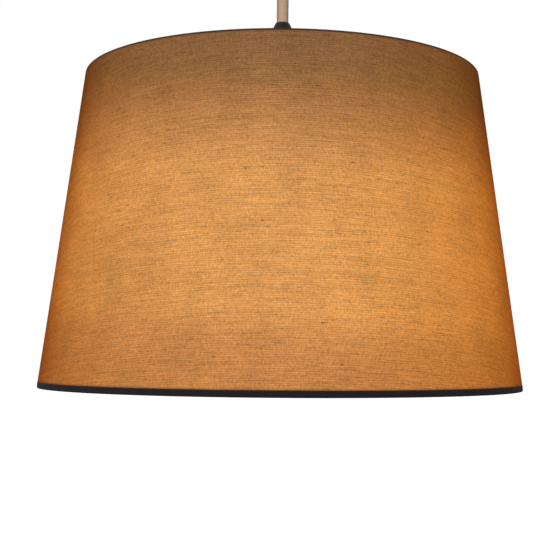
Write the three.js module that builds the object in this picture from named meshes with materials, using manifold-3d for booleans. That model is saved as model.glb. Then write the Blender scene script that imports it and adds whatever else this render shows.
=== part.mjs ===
// Pendant light with a tapered fabric drum shade, hung from a ceiling canopy on a round flex.
// Lengths are in millimetres and +Z is up. The origin is the middle of the bracket's ceiling face,
// and everything else hangs below it on the Z axis.
import * as THREE from "three";
import { mergeVertices } from "three/addons/utils/BufferGeometryUtils.js";
import Module from "manifold-3d";

const wasm = await Module();
wasm.setup();

// Clearances
const seatGap = 0.3;
const runGap = 0.4;
const cutOverrun = 1;
const weldShare = 0.00033;

// Round pieces: sides of their outlines
const shadeSides = 60;
const cupSides = 40;
const bodySides = 32;
const smallSides = 12;
const wireSides = 6;
const arcSteps = 4;

// Flex and cores
const flexDiameter = 7.6;
const flexSides = 10;
const flexSteps = 8;
const coreDiameter = 2.2;
const coreSides = 6;
const coreSteps = 12;
const coreOffset = 1.7;
const freeFlexLength = 80;
const swingLimitDeg = 25;
const bendLength = 12;

// The free flex runs straight down, with the slight set that a hung flex keeps: x, y, z
const flexRoute = [
  [0, 0, -86],
  [0, 0, -90],
  [0.05, 0, -95],
  [0.05, 0, -100],
  [0.1, 0.05, -105],
  [0.1, 0.05, -110],
  [0.15, 0.05, -115],
  [0.15, 0.05, -120],
  [0.15, 0.05, -125],
  [0.1, 0.05, -130],
  [0.1, 0.05, -135],
  [0.05, 0, -140],
  [0.05, 0, -145],
  [0, 0, -150],
  [0, 0, -153],
  [0, 0, -156.3],
];

// Ceiling bracket: a folded strap with two side tabs and a tongue for the flex clamp
const strapThickness = 1.5;
const strapWidth = 16;
const tabDrop = 16;
const tongueWidth = 26;
const tongueDrop = 32;
const ceilingSlotLength = 10;
const ceilingSlotWidth = 4.6;
const ceilingSlotSpacing = 74;

// Canopy cup
const cupDiameter = 100;
const cupHeight = 50;
const cupWall = 1.2;
const cupShoulder = 20;
const cupCeilingGap = 0.4;

// Screws: shank diameter, head diameter, head height
const canopyScrew = { shank: 4, head: 9, headHeight: 4, drop: 9, reach: 3 };
const earthScrew = { shank: 4, head: 7, headHeight: 2.5, offset: 24 };
const blockScrew = { shank: 3, head: 5, headHeight: 1.8 };
const saddleScrew = { shank: 3, head: 5.4, headHeight: 2, spacing: 18, tail: 2 };
const gripScrew = { shank: 3, drop: 9 };
const terminalScrew = { shank: 2.6, head: 3.4, headHeight: 1 };
const screwHoleGap = 0.3;

// Earth tag
const tagThickness = 0.8;
const tagRim = 2;
const tagTailLength = 7;
const tagTailWidth = 3;

// Terminal block
const blockLength = 28;
const blockDepth = 14;
const blockHeight = 14;
const blockPoles = 3;
const poleSpacing = 9;
const barrelDiameter = 3.6;
const barrelDepth = 5.2;
const coreInsert = 5;

// Flex clamp in the canopy
const saddleHeight = 8;
const saddleWall = 2.6;
const saddleDrop = 20;
const clampGap = 0.8;
const sheathTopDrop = 16;

// Cord outlet under the cup
const gripLength = 24;
const gripMouthDiameter = 14.8;
const gripBodyDiameter = 18;
const gripFlangeDiameter = 22;
const gripFlangeThickness = 2.2;
const gripNeckDiameter = 12;
const gripNeckLength = 7;
const gripFlare = 2.1;
const gripFlareLength = 5;
const gripNutWidth = 19;
const gripNutThickness = 4;
const pivotRise = 1.5;
const sheathEndRise = 2.3;

// Lampholder cap
const capAboveRim = 38;
const capHeight = 39;
const capLipDiameter = 9;
const capConeHeight = 27;
const capConeDiameter = 35;
const capDiameter = 37;
const capShoulder = 1.2;
const capWall = 2;
const flexIntoCap = 2;
const collarGripHeight = 6;
const collarGripDrop = 12;
const flexEndDrop = 20.5;

// Lampholder body
const shellBore = 27.2;
const shellWall = 0.4;
const shellLength = 24;
const shellDrop = 3;
const neckDiameter = 33;
const neckLength = 9;
const collarDiameter = 48;
const collarThickness = 3;
const skirtDiameter = 39.6;
const skirtLength = 32;
const skirtMouthDiameter = 35;
const skirtMouthDepth = 7;
const insertThickness = 9;
const insertRecess = 0.7;
const holderTerminal = { spacing: 18, length: 5, width: 7, height: 6 };
const contactThickness = 0.5;
const contactWidth = 4;
const centreContactReach = 5;
const centreContactTail = 10;
const centreContactDrop = 3.4;

// Ring that screws up under the shade
const ringDiameter = 54;
const ringHeight = 8;
const ringRibs = 24;
const ringRibDepth = 0.8;

// Shade
const shadeTopDiameter = 248;
const shadeBottomDiameter = 300;
const shadeHeight = 195;
const coverThickness = 0.7;
const linerThickness = 0.4;
const wireDiameter = 2.8;
const trimThickness = 0.8;
const topTrimHeight = 1;
const bottomTrimHeight = 3.4;
const bottomTrimInnerHeight = 6;
const seamWidth = 9;
const seamThickness = 0.5;
const fitterPlay = 0.9;
const fitterWidth = 6.3;
const fitterThickness = 1.8;
const armCount = 3;
const firstArmDeg = 90;

// Lamp
const lampCapDiameter = 26.4;
const lampCapWall = 0.5;
const lampCapLength = 18.5;
const lampCapTaper = 1.2;
const tipDiameter = 9.2;
const tipHeight = 2.2;
const insulatorTopDiameter = 11;
const insulatorBottomDiameter = 23;
const insulatorHeight = 5;
const housingNeckDiameter = 27.2;
const housingDiameter = 58;
const housingHeight = 44;
const housingWall = 1.4;
const housingSpigot = 8;
const housingSteps = 5;
const globeDiameter = 60;
const globeWall = 1.2;
const globeSteps = 7;
const boardThickness = 1.6;
const boardDrop = 34;
const driverWidth = 17;
const driverDepth = 34;

// Finishes
const finishes = {
  steel: { color: 0xb4b6b8, roughness: 0.35, metalness: 1 },
  brass: { color: 0xc9a24a, roughness: 0.3, metalness: 1 },
  nickel: { color: 0xcfcfca, roughness: 0.28, metalness: 1 },
  blackMetal: { color: 0x1d1d1f, roughness: 0.45, metalness: 0.4 },
  blackPlastic: { color: 0x18181a, roughness: 0.42, metalness: 0 },
  whitePlastic: { color: 0xe9e7e0, roughness: 0.45, metalness: 0 },
  ceramic: { color: 0xeeece4, roughness: 0.25, metalness: 0 },
  sheath: { color: 0xbfa183, roughness: 0.6, metalness: 0 },
  brownCore: { color: 0x5a3420, roughness: 0.5, metalness: 0 },
  blueCore: { color: 0x2f5fa8, roughness: 0.5, metalness: 0 },
  earthCore: { color: 0x6fa03a, roughness: 0.5, metalness: 0 },
  linen: { color: 0xb98a58, roughness: 0.9, metalness: 0 },
  liner: { color: 0xf1e6d2, roughness: 0.55, metalness: 0 },
  trim: { color: 0x29262b, roughness: 0.85, metalness: 0 },
  whiteWire: { color: 0xe6e4de, roughness: 0.4, metalness: 0 },
  opal: { color: 0xfff3dc, roughness: 0.4, metalness: 0 },
  board: { color: 0xdfe3e0, roughness: 0.5, metalness: 0 },
  circuit: { color: 0x2e6b45, roughness: 0.5, metalness: 0 },
};

// Radii and levels that several pieces share
const flexR = flexDiameter / 2;
const coreR = coreDiameter / 2;
const boreR = flexR + seatGap;
const cupR = cupDiameter / 2;
const cupInnerR = cupR - cupWall;
const tabFace = Math.sqrt((cupInnerR - seatGap) ** 2 - (strapWidth / 2) ** 2);
const cupBottom = -cupHeight;
const gripTop = cupBottom - seatGap;
const gripMouth = gripTop - gripLength;
const swingPivot = gripMouth + pivotRise;
const bendPivot = swingPivot - bendLength;
const capTop = gripMouth - freeFlexLength;
const capBottom = capTop - capHeight;
const rimLevel = capTop - capAboveRim;
const shadeBottom = rimLevel - shadeHeight;
const collarTop = capBottom - seatGap;
const collarBottom = collarTop - collarThickness;
const fitterTop = collarBottom - seatGap;
const fitterBottom = fitterTop - fitterThickness;
const ringTop = fitterBottom - seatGap;
const skirtBottom = collarBottom - skirtLength;
const neckTop = capBottom + neckLength;
const insertTop = neckTop - insertRecess;
const insertBottom = insertTop - insertThickness;
const contactTop = insertBottom - seatGap;
const shellTop = insertBottom - shellDrop;
const shellR = shellBore / 2;
const shellOuterR = shellR + shellWall;
const skirtBoreR = shellOuterR + seatGap;
const skirtR = skirtDiameter / 2;
const tipTop = contactTop - centreContactDrop - seatGap;
const tipBottom = tipTop - tipHeight;
const insulatorTop = tipBottom - seatGap;
const insulatorBottom = insulatorTop - insulatorHeight;
const lampCapTop = insulatorBottom - seatGap;
const lampCapBottom = lampCapTop - lampCapLength;
const housingTop = lampCapBottom - seatGap;
const housingBottom = housingTop - housingHeight;
const tongueFace = boreR;
const saddleLevel = -saddleDrop - saddleHeight / 2;
const blockFrontX = tongueWidth / 2 + clampGap + seatGap;
const blockCentreX = blockFrontX + blockDepth / 2;
const blockScrewY = poleSpacing / 2;
const blockTop = -strapThickness - seatGap;
const barrelLevel = blockTop - barrelDepth;
const terminalX = blockFrontX + coreInsert - coreR;
const wireR = wireDiameter / 2;
const ringInset = trimThickness + seatGap + wireR;
const topWireZ = rimLevel - ringInset;
const bottomWireZ = shadeBottom + ringInset;
const topWireR = coneR(topWireZ) - ringInset;
const bottomWireR = coneR(bottomWireZ) - ringInset;

// The shade's outer face is a cone from the rim down to the bottom edge
function coneR(level) {
  const share = (rimLevel - level) / shadeHeight;
  return THREE.MathUtils.lerp(shadeTopDiameter, shadeBottomDiameter, share) / 2;
}

// Where each pole of the terminal block lies across it
function poleY(index) {
  return (index - (blockPoles - 1) / 2) * poleSpacing;
}

// Geometry helpers
function closed(source) {
  const bare = source.clone();
  bare.deleteAttribute("normal");
  bare.deleteAttribute("uv");
  const merged = mergeVertices(bare, seatGap * weldShare);
  const index = Array.from(merged.index.array);
  const place = merged.attributes.position;
  const kept = [];
  let volume = 0;
  const a = new THREE.Vector3();
  const b = new THREE.Vector3();
  const c = new THREE.Vector3();
  for (let i = 0; i < index.length; i += 3) {
    const [p, q, r] = index.slice(i, i + 3);
    if (p === q || q === r || r === p) continue;
    kept.push(p, q, r);
    a.fromBufferAttribute(place, p);
    b.fromBufferAttribute(place, q);
    c.fromBufferAttribute(place, r);
    volume += a.dot(b.cross(c));
  }
  if (volume < 0) kept.reverse();
  merged.setIndex(kept);
  return merged;
}

function solidOf(source) {
  const geometry = closed(source);
  const vertProperties = new Float32Array(geometry.attributes.position.array);
  const triVerts = new Uint32Array(geometry.index.array);
  return new wasm.Manifold(new wasm.Mesh({ numProp: 3, vertProperties, triVerts }));
}

function geometryOf(solid) {
  const mesh = solid.getMesh();
  const geometry = new THREE.BufferGeometry();
  geometry.setAttribute("position", new THREE.BufferAttribute(new Float32Array(mesh.vertProperties), 3));
  geometry.setIndex(Array.from(mesh.triVerts));
  return geometry;
}

function joined(first, ...others) {
  return geometryOf(others.reduce((whole, other) => whole.add(solidOf(other)), solidOf(first)));
}

function cut(whole, ...tools) {
  return geometryOf(tools.reduce((rest, tool) => rest.subtract(solidOf(tool)), solidOf(whole)));
}

function shared(first, second) {
  return geometryOf(solidOf(first).intersect(solidOf(second)));
}

// A profile of radius and height pairs, turned round Z
function turned(profile, sides) {
  const points = profile.map(([radius, height]) => new THREE.Vector2(radius, height));
  return closed(new THREE.LatheGeometry(points, sides).rotateX(Math.PI / 2));
}

// A ring whose profile closes on itself
function turnedRing(profile, sides) {
  return turned([...profile, profile[0]], sides);
}

// A tube wall between two radii, from a low level to a high one
function sleeve(innerR, outerR, low, high, sides) {
  return turnedRing([[innerR, low], [outerR, low], [outerR, high], [innerR, high]], sides);
}

function disc(radius, low, high, sides) {
  return turned([[0, low], [radius, low], [radius, high], [0, high]], sides);
}

function block(x, y, z, centre = [0, 0, 0]) {
  return new THREE.BoxGeometry(x, y, z).translate(...centre);
}

// A round rod from one point to another
function rod(from, to, radius, sides) {
  const start = new THREE.Vector3(...from);
  const end = new THREE.Vector3(...to);
  const way = end.clone().sub(start);
  const turn = new THREE.Quaternion().setFromUnitVectors(new THREE.Vector3(0, 1, 0), way.clone().normalize());
  const geometry = new THREE.CylinderGeometry(radius, radius, way.length(), sides).applyQuaternion(turn);
  return geometry.translate(...start.add(end).multiplyScalar(1 / 2).toArray());
}

// A round tube along a smooth curve through points
function tube(points, radius, sides, steps) {
  const outline = new THREE.Shape();
  for (let i = 0; i <= sides; i += 1) {
    const angle = (i / sides) * Math.PI * 2;
    const [x, y] = [Math.cos(angle) * radius, Math.sin(angle) * radius];
    if (i === 0) outline.moveTo(x, y);
    else outline.lineTo(x, y);
  }
  const extrudePath = new THREE.CatmullRomCurve3(points.map((point) => new THREE.Vector3(...point)));
  return closed(new THREE.ExtrudeGeometry(outline, { steps, extrudePath, bevelEnabled: false }));
}

// An outline in X and Y with a thickness upwards from zero
function prism(outline, thickness) {
  const shape = new THREE.Shape(outline.map(([x, y]) => new THREE.Vector2(x, y)));
  return closed(new THREE.ExtrudeGeometry(shape, { depth: thickness, bevelEnabled: false }));
}

// An outline in X and Z with a thickness centred on Y
function sideways(outline, thickness) {
  return prism(outline, thickness).rotateX(Math.PI / 2).translate(0, thickness / 2, 0);
}

function arc(centreR, centreZ, radius, fromDeg, toDeg, steps) {
  return Array.from({ length: steps + 1 }, (_, i) => {
    const angle = THREE.MathUtils.degToRad(fromDeg + ((toDeg - fromDeg) * i) / steps);
    return [centreR + radius * Math.cos(angle), centreZ + radius * Math.sin(angle)];
  });
}

// A screw along Z with its head at the bottom: the shank rises from the head
function screw(size, length, sides = smallSides) {
  const head = size.head / 2;
  const shank = size.shank / 2;
  return turned(
    [[0, -size.headHeight], [head, -size.headHeight], [head, 0], [shank, 0], [shank, length], [0, length]],
    sides,
  );
}

const model = new THREE.Group();

function add(name, geometry, finish, position = [0, 0, 0], rotation = [0, 0, 0]) {
  const mesh = new THREE.Mesh(geometry, new THREE.MeshStandardMaterial(finishes[finish]));
  mesh.name = name;
  mesh.position.set(...position);
  mesh.rotation.set(...rotation);
  model.add(mesh);
}

// Bracket: the strap and its tabs are one folded strip, and the tongue is folded down behind the flex
function ceilingBracket() {
  const low = -tabDrop;
  const inner = tabFace - strapThickness;
  const strip = sideways(
    [
      [-tabFace, low], [-tabFace, 0], [tabFace, 0], [tabFace, low],
      [inner, low], [inner, -strapThickness], [-inner, -strapThickness], [-inner, low],
    ],
    strapWidth,
  );
  const tongueY = tongueFace + strapThickness / 2;
  const tongue = block(tongueWidth, strapThickness, tongueDrop, [0, tongueY, -tongueDrop / 2]);
  const slots = [-1, 1].map((side) => {
    const x = (side * ceilingSlotSpacing) / 2;
    return block(ceilingSlotLength, ceilingSlotWidth, strapThickness * 3, [x, 0, -strapThickness / 2]);
  });
  const tabHoleR = canopyScrew.shank / 2 + screwHoleGap;
  const tabHole = rod(
    [-tabFace - cutOverrun, 0, -canopyScrew.drop],
    [tabFace + cutOverrun, 0, -canopyScrew.drop],
    tabHoleR,
    smallSides,
  );
  const upright = (x, y, shank) =>
    rod([x, y, -strapThickness - cutOverrun], [x, y, cutOverrun], shank / 2 + screwHoleGap, smallSides);
  const earthHole = upright(-earthScrew.offset, 0, earthScrew.shank);
  const blockHole = upright(blockCentreX, blockScrewY, blockScrew.shank);
  const clampHoles = [-1, 1].map((side) => {
    const x = (side * saddleScrew.spacing) / 2;
    const y = tongueFace - cutOverrun;
    const far = tongueFace + strapThickness + cutOverrun;
    return rod([x, y, saddleLevel], [x, far, saddleLevel], saddleScrew.shank / 2 + screwHoleGap, smallSides);
  });
  const holes = [...slots, tabHole, earthHole, blockHole, ...clampHoles];
  add("ceiling_bracket", cut(joined(strip, tongue), ...holes), "steel");
}

// Cup: straight at the ceiling, rounded below, with a slot for each side screw open at its rim
function canopyCup() {
  const holeR = gripNeckDiameter / 2 + seatGap;
  const shoulderZ = cupBottom + cupShoulder;
  const shoulderR = cupR - cupShoulder;
  const profile = [
    [holeR, cupBottom],
    ...arc(shoulderR, shoulderZ, cupShoulder, -90, 0, arcSteps),
    [cupR, -cupCeilingGap],
    [cupInnerR, -cupCeilingGap],
    ...arc(shoulderR, shoulderZ, cupShoulder - cupWall, 0, -90, arcSteps),
    [holeR, cupBottom + cupWall],
  ];
  const slotHalf = canopyScrew.shank / 2 + screwHoleGap;
  const slotDepth = canopyScrew.drop + slotHalf;
  const slots = [-1, 1].map((side) =>
    block(cupShoulder, slotHalf * 2, slotDepth * 2, [side * cupR, 0, 0]));
  add("canopy_cup", cut(turnedRing(profile, cupSides), ...slots), "blackMetal");
}

function canopyScrews() {
  const length = cupR + seatGap - tabFace + strapThickness + canopyScrew.reach;
  const x = cupR + seatGap;
  add("canopy_screw_1", screw(canopyScrew, length), "steel", [x, 0, -canopyScrew.drop], [0, -Math.PI / 2, 0]);
  add("canopy_screw_2", screw(canopyScrew, length), "steel", [-x, 0, -canopyScrew.drop], [0, Math.PI / 2, 0]);
}

// Earth tag: a washer with a tail that the earth lead meets
function earthFixing() {
  const innerR = earthScrew.shank / 2 + screwHoleGap;
  const washer = sleeve(innerR, innerR + tagRim, 0, tagThickness, smallSides);
  const tail = block(tagTailWidth, tagTailLength, tagThickness, [
    0, innerR + tagRim / 2 + tagTailLength / 2, tagThickness / 2,
  ]);
  const tagTop = -strapThickness - seatGap;
  const tagZ = tagTop - tagThickness;
  add("earth_tag", joined(washer, tail), "brass", [-earthScrew.offset, 0, tagZ]);
  const headTop = tagZ - seatGap;
  add("earth_screw", screw(earthScrew, -headTop - seatGap), "brass", [-earthScrew.offset, 0, headTop]);
}

// Terminal block: barrels along X, and a screw up into each from below
function terminalBlock() {
  const low = blockTop - blockHeight;
  const under = low - cutOverrun;
  const body = block(blockDepth, blockLength, blockHeight, [blockCentreX, 0, blockTop - blockHeight / 2]);
  const near = blockFrontX - cutOverrun;
  const far = blockFrontX + blockDepth + cutOverrun;
  const barrelR = barrelDiameter / 2;
  const wellR = terminalScrew.head / 2 + screwHoleGap;
  const fixingR = blockScrew.shank / 2 + screwHoleGap;
  const fixing = rod([blockCentreX, blockScrewY, under], [blockCentreX, blockScrewY, 0], fixingR, smallSides);
  const tools = [fixing];
  for (let i = 0; i < blockPoles; i += 1) {
    const y = poleY(i);
    tools.push(rod([near, y, barrelLevel], [far, y, barrelLevel], barrelR, smallSides));
    tools.push(rod([terminalX, y, under], [terminalX, y, barrelLevel], wellR, smallSides));
  }
  add("terminal_block", cut(body, ...tools), "whitePlastic");
  const headTop = low - seatGap;
  add("block_screw", screw(blockScrew, -headTop - seatGap), "steel", [blockCentreX, blockScrewY, headTop]);
  const length = terminalScrew.shank;
  const level = barrelLevel - coreR - seatGap - length;
  for (let i = 0; i < blockPoles; i += 1) {
    add(`terminal_screw_${i + 1}`, screw(terminalScrew, length), "brass", [terminalX, poleY(i), level]);
  }
}

// Saddle: a bar with a half-round groove that presses the flex against the tongue
function flexClamp() {
  const back = tongueFace - clampGap;
  const front = -boreR - saddleWall;
  const half = tongueWidth / 2;
  const groove = arc(0, 0, boreR, 360, 180, arcSteps * 2);
  const outline = [
    [-half, front], [half, front], [half, back], [boreR, back],
    ...groove,
    [-boreR, back], [-half, back],
  ];
  const holes = [-1, 1].map((side) => {
    const x = (side * saddleScrew.spacing) / 2;
    const y = front - cutOverrun;
    const z = saddleHeight / 2;
    return rod([x, y, z], [x, back + cutOverrun, z], saddleScrew.shank / 2 + screwHoleGap, smallSides);
  });
  const low = -saddleDrop - saddleHeight;
  add("cord_saddle", cut(prism(outline, saddleHeight), ...holes), "whitePlastic", [0, 0, low]);
  const length = tongueFace + strapThickness + saddleScrew.tail - front + seatGap;
  for (const side of [-1, 1]) {
    const x = (side * saddleScrew.spacing) / 2;
    const name = `saddle_screw_${side < 0 ? 1 : 2}`;
    add(name, screw(saddleScrew, length), "steel", [x, front - seatGap, saddleLevel], [-Math.PI / 2, 0, 0]);
  }
}

// Outlet: a flange under the cup, a threaded neck through it and a tapered body with a bell mouth
function cordGrip() {
  const bell = [];
  for (let i = 0; i <= arcSteps; i += 1) {
    const share = i / arcSteps;
    const level = gripMouth + gripFlareLength * (1 - share);
    bell.push([boreR + gripFlare * (1 - Math.sqrt(1 - share ** 2)), level]);
  }
  const neckTopZ = cupBottom + cupWall + gripNeckLength;
  const profile = [
    [boreR, neckTopZ],
    ...bell,
    [gripMouthDiameter / 2, gripMouth],
    [gripBodyDiameter / 2, gripTop - gripFlangeThickness],
    [gripFlangeDiameter / 2, gripTop - gripFlangeThickness],
    [gripFlangeDiameter / 2, gripTop],
    [gripNeckDiameter / 2, gripTop],
    [gripNeckDiameter / 2, neckTopZ],
  ];
  const screwZ = gripTop - gripScrew.drop;
  const holeEnd = [0, -gripBodyDiameter, screwZ];
  const hole = rod([0, 0, screwZ], holeEnd, gripScrew.shank / 2 + screwHoleGap, smallSides);
  add("cord_grip", cut(turnedRing(profile, bodySides), hole), "blackPlastic");
  const outerShare = (gripScrew.drop - gripFlangeThickness) / (gripLength - gripFlangeThickness);
  const outerR = THREE.MathUtils.lerp(gripBodyDiameter, gripMouthDiameter, outerShare) / 2;
  const length = outerR - boreR - seatGap;
  const grub = disc(gripScrew.shank / 2, 0, length, smallSides);
  add("grip_screw", grub, "steel", [0, -boreR, screwZ], [Math.PI / 2, 0, 0]);
  const nutBottom = cupBottom + cupWall + seatGap;
  const nutTop = nutBottom + gripNutThickness;
  const nutBoreR = gripNeckDiameter / 2 + seatGap;
  add("grip_nut", sleeve(nutBoreR, gripNutWidth / 2, nutBottom, nutTop, smallSides), "steel");
}

// Sheathed flex inside the canopy, and its cores up to the terminals
function canopyWiring() {
  add("flex_inside", disc(flexR, swingPivot + sheathEndRise, -sheathTopDrop, flexSides), "sheath");
  const start = -sheathTopDrop + seatGap;
  const rise = -sheathTopDrop + coreDiameter * 2;
  const end = blockFrontX + coreInsert;
  const core = (y, poleIndex) => tube(
    [
      [coreOffset, y, start],
      [coreOffset, y, rise],
      [blockFrontX / 3, (y + poleY(poleIndex)) / 2, (rise + barrelLevel) / 2],
      [blockFrontX - coreDiameter, poleY(poleIndex), barrelLevel],
      [blockFrontX, poleY(poleIndex), barrelLevel],
      [end, poleY(poleIndex), barrelLevel],
    ],
    coreR,
    coreSides,
    coreSteps,
  );
  add("live_core_top", core(-coreOffset, 0), "brownCore");
  add("neutral_core_top", core(coreOffset, 1), "blueCore");
  const tagMiddle = -strapThickness - seatGap - tagThickness / 2;
  const tailSide = -earthScrew.offset + tagTailWidth / 2 + seatGap;
  const tailY = earthScrew.shank / 2 + screwHoleGap + tagRim / 2 + tagTailLength - coreR;
  const behind = tongueFace + strapThickness + coreDiameter * 2;
  const earth = tube(
    [
      [end, poleY(2), barrelLevel],
      [blockFrontX, poleY(2), barrelLevel],
      [tongueWidth / 4, behind, barrelLevel],
      [-tongueWidth / 4, behind, barrelLevel],
      [tailSide + coreDiameter * 2, tailY, tagMiddle - coreDiameter],
      [tailSide, tailY, tagMiddle - coreR / 2],
    ],
    coreR,
    coreSides,
    coreSteps,
  );
  add("earth_lead", earth, "earthCore");
}

// Free flex: a short stretch that bends at the outlet, and the long one below it. The long one's top
// end is a blunt cone, so that it can lean without touching the stretch above.
function freeFlex() {
  const bendBottom = bendPivot + seatGap / 2;
  const bend = [[0, 0, swingPivot + seatGap], [0, 0, (swingPivot + bendBottom) / 2], [0, 0, bendBottom]];
  add("flex_bend", tube(bend, flexR, flexSides, 2), "sheath");
  const apex = bendPivot - seatGap / 2;
  const route = [[0, 0, apex], ...flexRoute];
  const slope = Math.tan(THREE.MathUtils.degToRad(swingLimitDeg + 1));
  const span = apex - flexRoute[flexRoute.length - 1][2] + cutOverrun;
  const cone = turned([[0, apex - span], [span / slope, apex - span], [0, apex]], flexSides);
  add("flex", shared(tube(route, flexR, flexSides, flexSteps), cone), "sheath");
}

// Cap: a cone from the lip down to a short straight wall
function capOuterR(level) {
  const share = (capTop - level) / capConeHeight;
  return THREE.MathUtils.lerp(capLipDiameter, capConeDiameter, share) / 2;
}

function holderCap() {
  const coneBottom = capTop - capConeHeight;
  const wallTop = coneBottom - capShoulder;
  const slope = (capConeDiameter - capLipDiameter) / 2 / capConeHeight;
  const innerStart = capTop - (boreR + capWall - capLipDiameter / 2) / slope;
  const innerR = neckDiameter / 2 + seatGap;
  const profile = [
    [boreR, capTop],
    [capLipDiameter / 2, capTop],
    [capConeDiameter / 2, coneBottom],
    [capDiameter / 2, wallTop],
    [capDiameter / 2, capBottom],
    [innerR, capBottom],
    [innerR, wallTop - capShoulder],
    [capConeDiameter / 2 - capWall, coneBottom],
    [boreR, innerStart],
  ];
  add("holder_cap", turnedRing(profile, bodySides), "blackPlastic");
}

// Inside the cap: the end of the flex in its grip collar, and two cores down to the terminals
function holderWiring() {
  const top = capTop - flexIntoCap - seatGap;
  const low = capTop - flexEndDrop;
  add("flex_end", disc(flexR, low, top, flexSides), "sheath");
  const collarLevel = capTop - collarGripDrop;
  const collarR = capOuterR(collarLevel) - capWall - seatGap;
  const collarLow = collarLevel - collarGripHeight;
  add("grip_collar", sleeve(boreR, collarR, collarLow, collarLevel, smallSides), "whitePlastic");
  const middle = holderTerminal.spacing / 2;
  const face = middle - holderTerminal.length / 2;
  const level = insertTop + seatGap + holderTerminal.height / 2;
  for (const side of [-1, 1]) {
    const points = [
      [side * coreOffset, 0, low - seatGap],
      [side * coreOffset, 0, low - coreDiameter],
      [side * (face + coreOffset) / 2, 0, level + coreR],
      [side * face, 0, level],
      [side * middle, 0, level],
    ];
    const name = side < 0 ? "live_core_bottom" : "neutral_core_bottom";
    add(name, tube(points, coreR, coreSides, coreSteps), side < 0 ? "brownCore" : "blueCore");
  }
}

// Insert with its two terminals, and the contacts below it
function holderContacts() {
  add("contact_insert", disc(skirtBoreR - seatGap, insertBottom, insertTop, bodySides), "ceramic");
  const low = insertTop + seatGap;
  const level = low + holderTerminal.height / 2;
  const tip = level + coreR + seatGap;
  const shank = low + holderTerminal.height + seatGap - tip;
  const { length, width, height } = holderTerminal;
  const reach = length / 2 + cutOverrun;
  const over = height + cutOverrun;
  const middle = height / 2;
  const headUp = [Math.PI, 0, 0];
  for (const side of [-1, 1]) {
    const x = (side * holderTerminal.spacing) / 2;
    const index = side < 0 ? 1 : 2;
    const body = block(length, width, height, [0, 0, middle]);
    const coreHole = rod([-reach, 0, middle], [reach, 0, middle], coreR + screwHoleGap, smallSides);
    const screwHole = rod([0, 0, middle], [0, 0, over], terminalScrew.shank / 2 + screwHoleGap, smallSides);
    add(`holder_terminal_${index}`, cut(body, coreHole, screwHole), "brass", [x, 0, low]);
    add(`holder_screw_${index}`, screw(terminalScrew, shank), "steel", [x, 0, tip + shank], headUp);
  }
  const zt = contactTop;
  const zb = contactTop - centreContactDrop;
  const t = contactThickness;
  const x = centreContactReach;
  const centre = [
    [-centreContactTail, zt], [x, zt], [x, zb], [-x, zb],
    [-x, zb + t], [x - t, zb + t], [x - t, zt - t], [-centreContactTail, zt - t],
  ];
  add("centre_contact", sideways(centre, contactWidth), "brass");
  const outer = shellOuterR - shellWall / 2;
  const foot = shellTop + seatGap;
  const inner = holderTerminal.spacing / 2;
  const side = [
    [inner, zt], [outer, zt], [outer, foot],
    [outer - t, foot], [outer - t, zt - t], [inner, zt - t],
  ];
  add("side_contact", sideways(side, contactWidth), "brass");
  add("screw_shell", sleeve(shellR, shellOuterR, shellTop - shellLength, shellTop, bodySides), "brass");
}

// Holder body: neck inside the cap, collar against the shade, and a skirt that the shade's ring runs on
function holderSkirt() {
  const collarR = collarDiameter / 2;
  const neckR = neckDiameter / 2;
  const mouthR = skirtMouthDiameter / 2;
  const mouthTop = skirtBottom + skirtMouthDepth;
  const profile = [
    [skirtBoreR, neckTop],
    [skirtBoreR, mouthTop],
    [mouthR, mouthTop],
    [mouthR, skirtBottom],
    [skirtR, skirtBottom],
    [skirtR, collarBottom],
    [collarR, collarBottom],
    [collarR, collarTop],
    [neckR, collarTop],
    [neckR, neckTop],
  ];
  add("holder_skirt", turnedRing(profile, bodySides), "blackPlastic");
}

// Ring with upright grip ribs round it
function shadeRing() {
  const outerR = ringDiameter / 2;
  const outline = [];
  for (let i = 0; i < ringRibs * 4; i += 1) {
    const angle = (i / (ringRibs * 4)) * Math.PI * 2;
    const radius = i % 4 < 2 ? outerR : outerR - ringRibDepth;
    outline.push([Math.cos(angle) * radius, Math.sin(angle) * radius]);
  }
  const bore = rod([0, 0, -cutOverrun], [0, 0, ringHeight + cutOverrun], skirtR + runGap, bodySides);
  add("shade_ring", cut(prism(outline, ringHeight), bore), "blackPlastic", [0, 0, ringTop - ringHeight]);
}

// Fitter: a flat ring that the holder's collar presses on, with wire arms out to the top ring
function fitter() {
  const innerR = skirtR + fitterPlay;
  const outerR = innerR + fitterWidth;
  add("fitter_ring", sleeve(innerR, outerR, fitterBottom, fitterTop, bodySides), "whiteWire");
  const middle = (fitterTop + fitterBottom) / 2;
  for (let i = 0; i < armCount; i += 1) {
    const from = [outerR + seatGap, 0, middle];
    const to = [topWireR - wireR - seatGap, 0, topWireZ];
    const turn = [0, 0, THREE.MathUtils.degToRad(firstArmDeg + (360 / armCount) * i)];
    add(`spider_arm_${i + 1}`, closed(rod(from, to, wireR, wireSides)), "whiteWire", [0, 0, 0], turn);
  }
}

function wireRings() {
  const ring = (radius) => new THREE.TorusGeometry(radius, wireR, wireSides, shadeSides);
  add("top_wire_ring", ring(topWireR), "whiteWire", [0, 0, topWireZ]);
  add("bottom_wire_ring", ring(bottomWireR), "whiteWire", [0, 0, bottomWireZ]);
}

// A wall that follows the cone between two levels, set in from its outer face
function coneWall(high, low, outerInset, innerInset) {
  return turnedRing(
    [
      [coneR(high) - outerInset, high],
      [coneR(low) - outerInset, low],
      [coneR(low) - innerInset, low],
      [coneR(high) - innerInset, high],
    ],
    shadeSides,
  );
}

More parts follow.
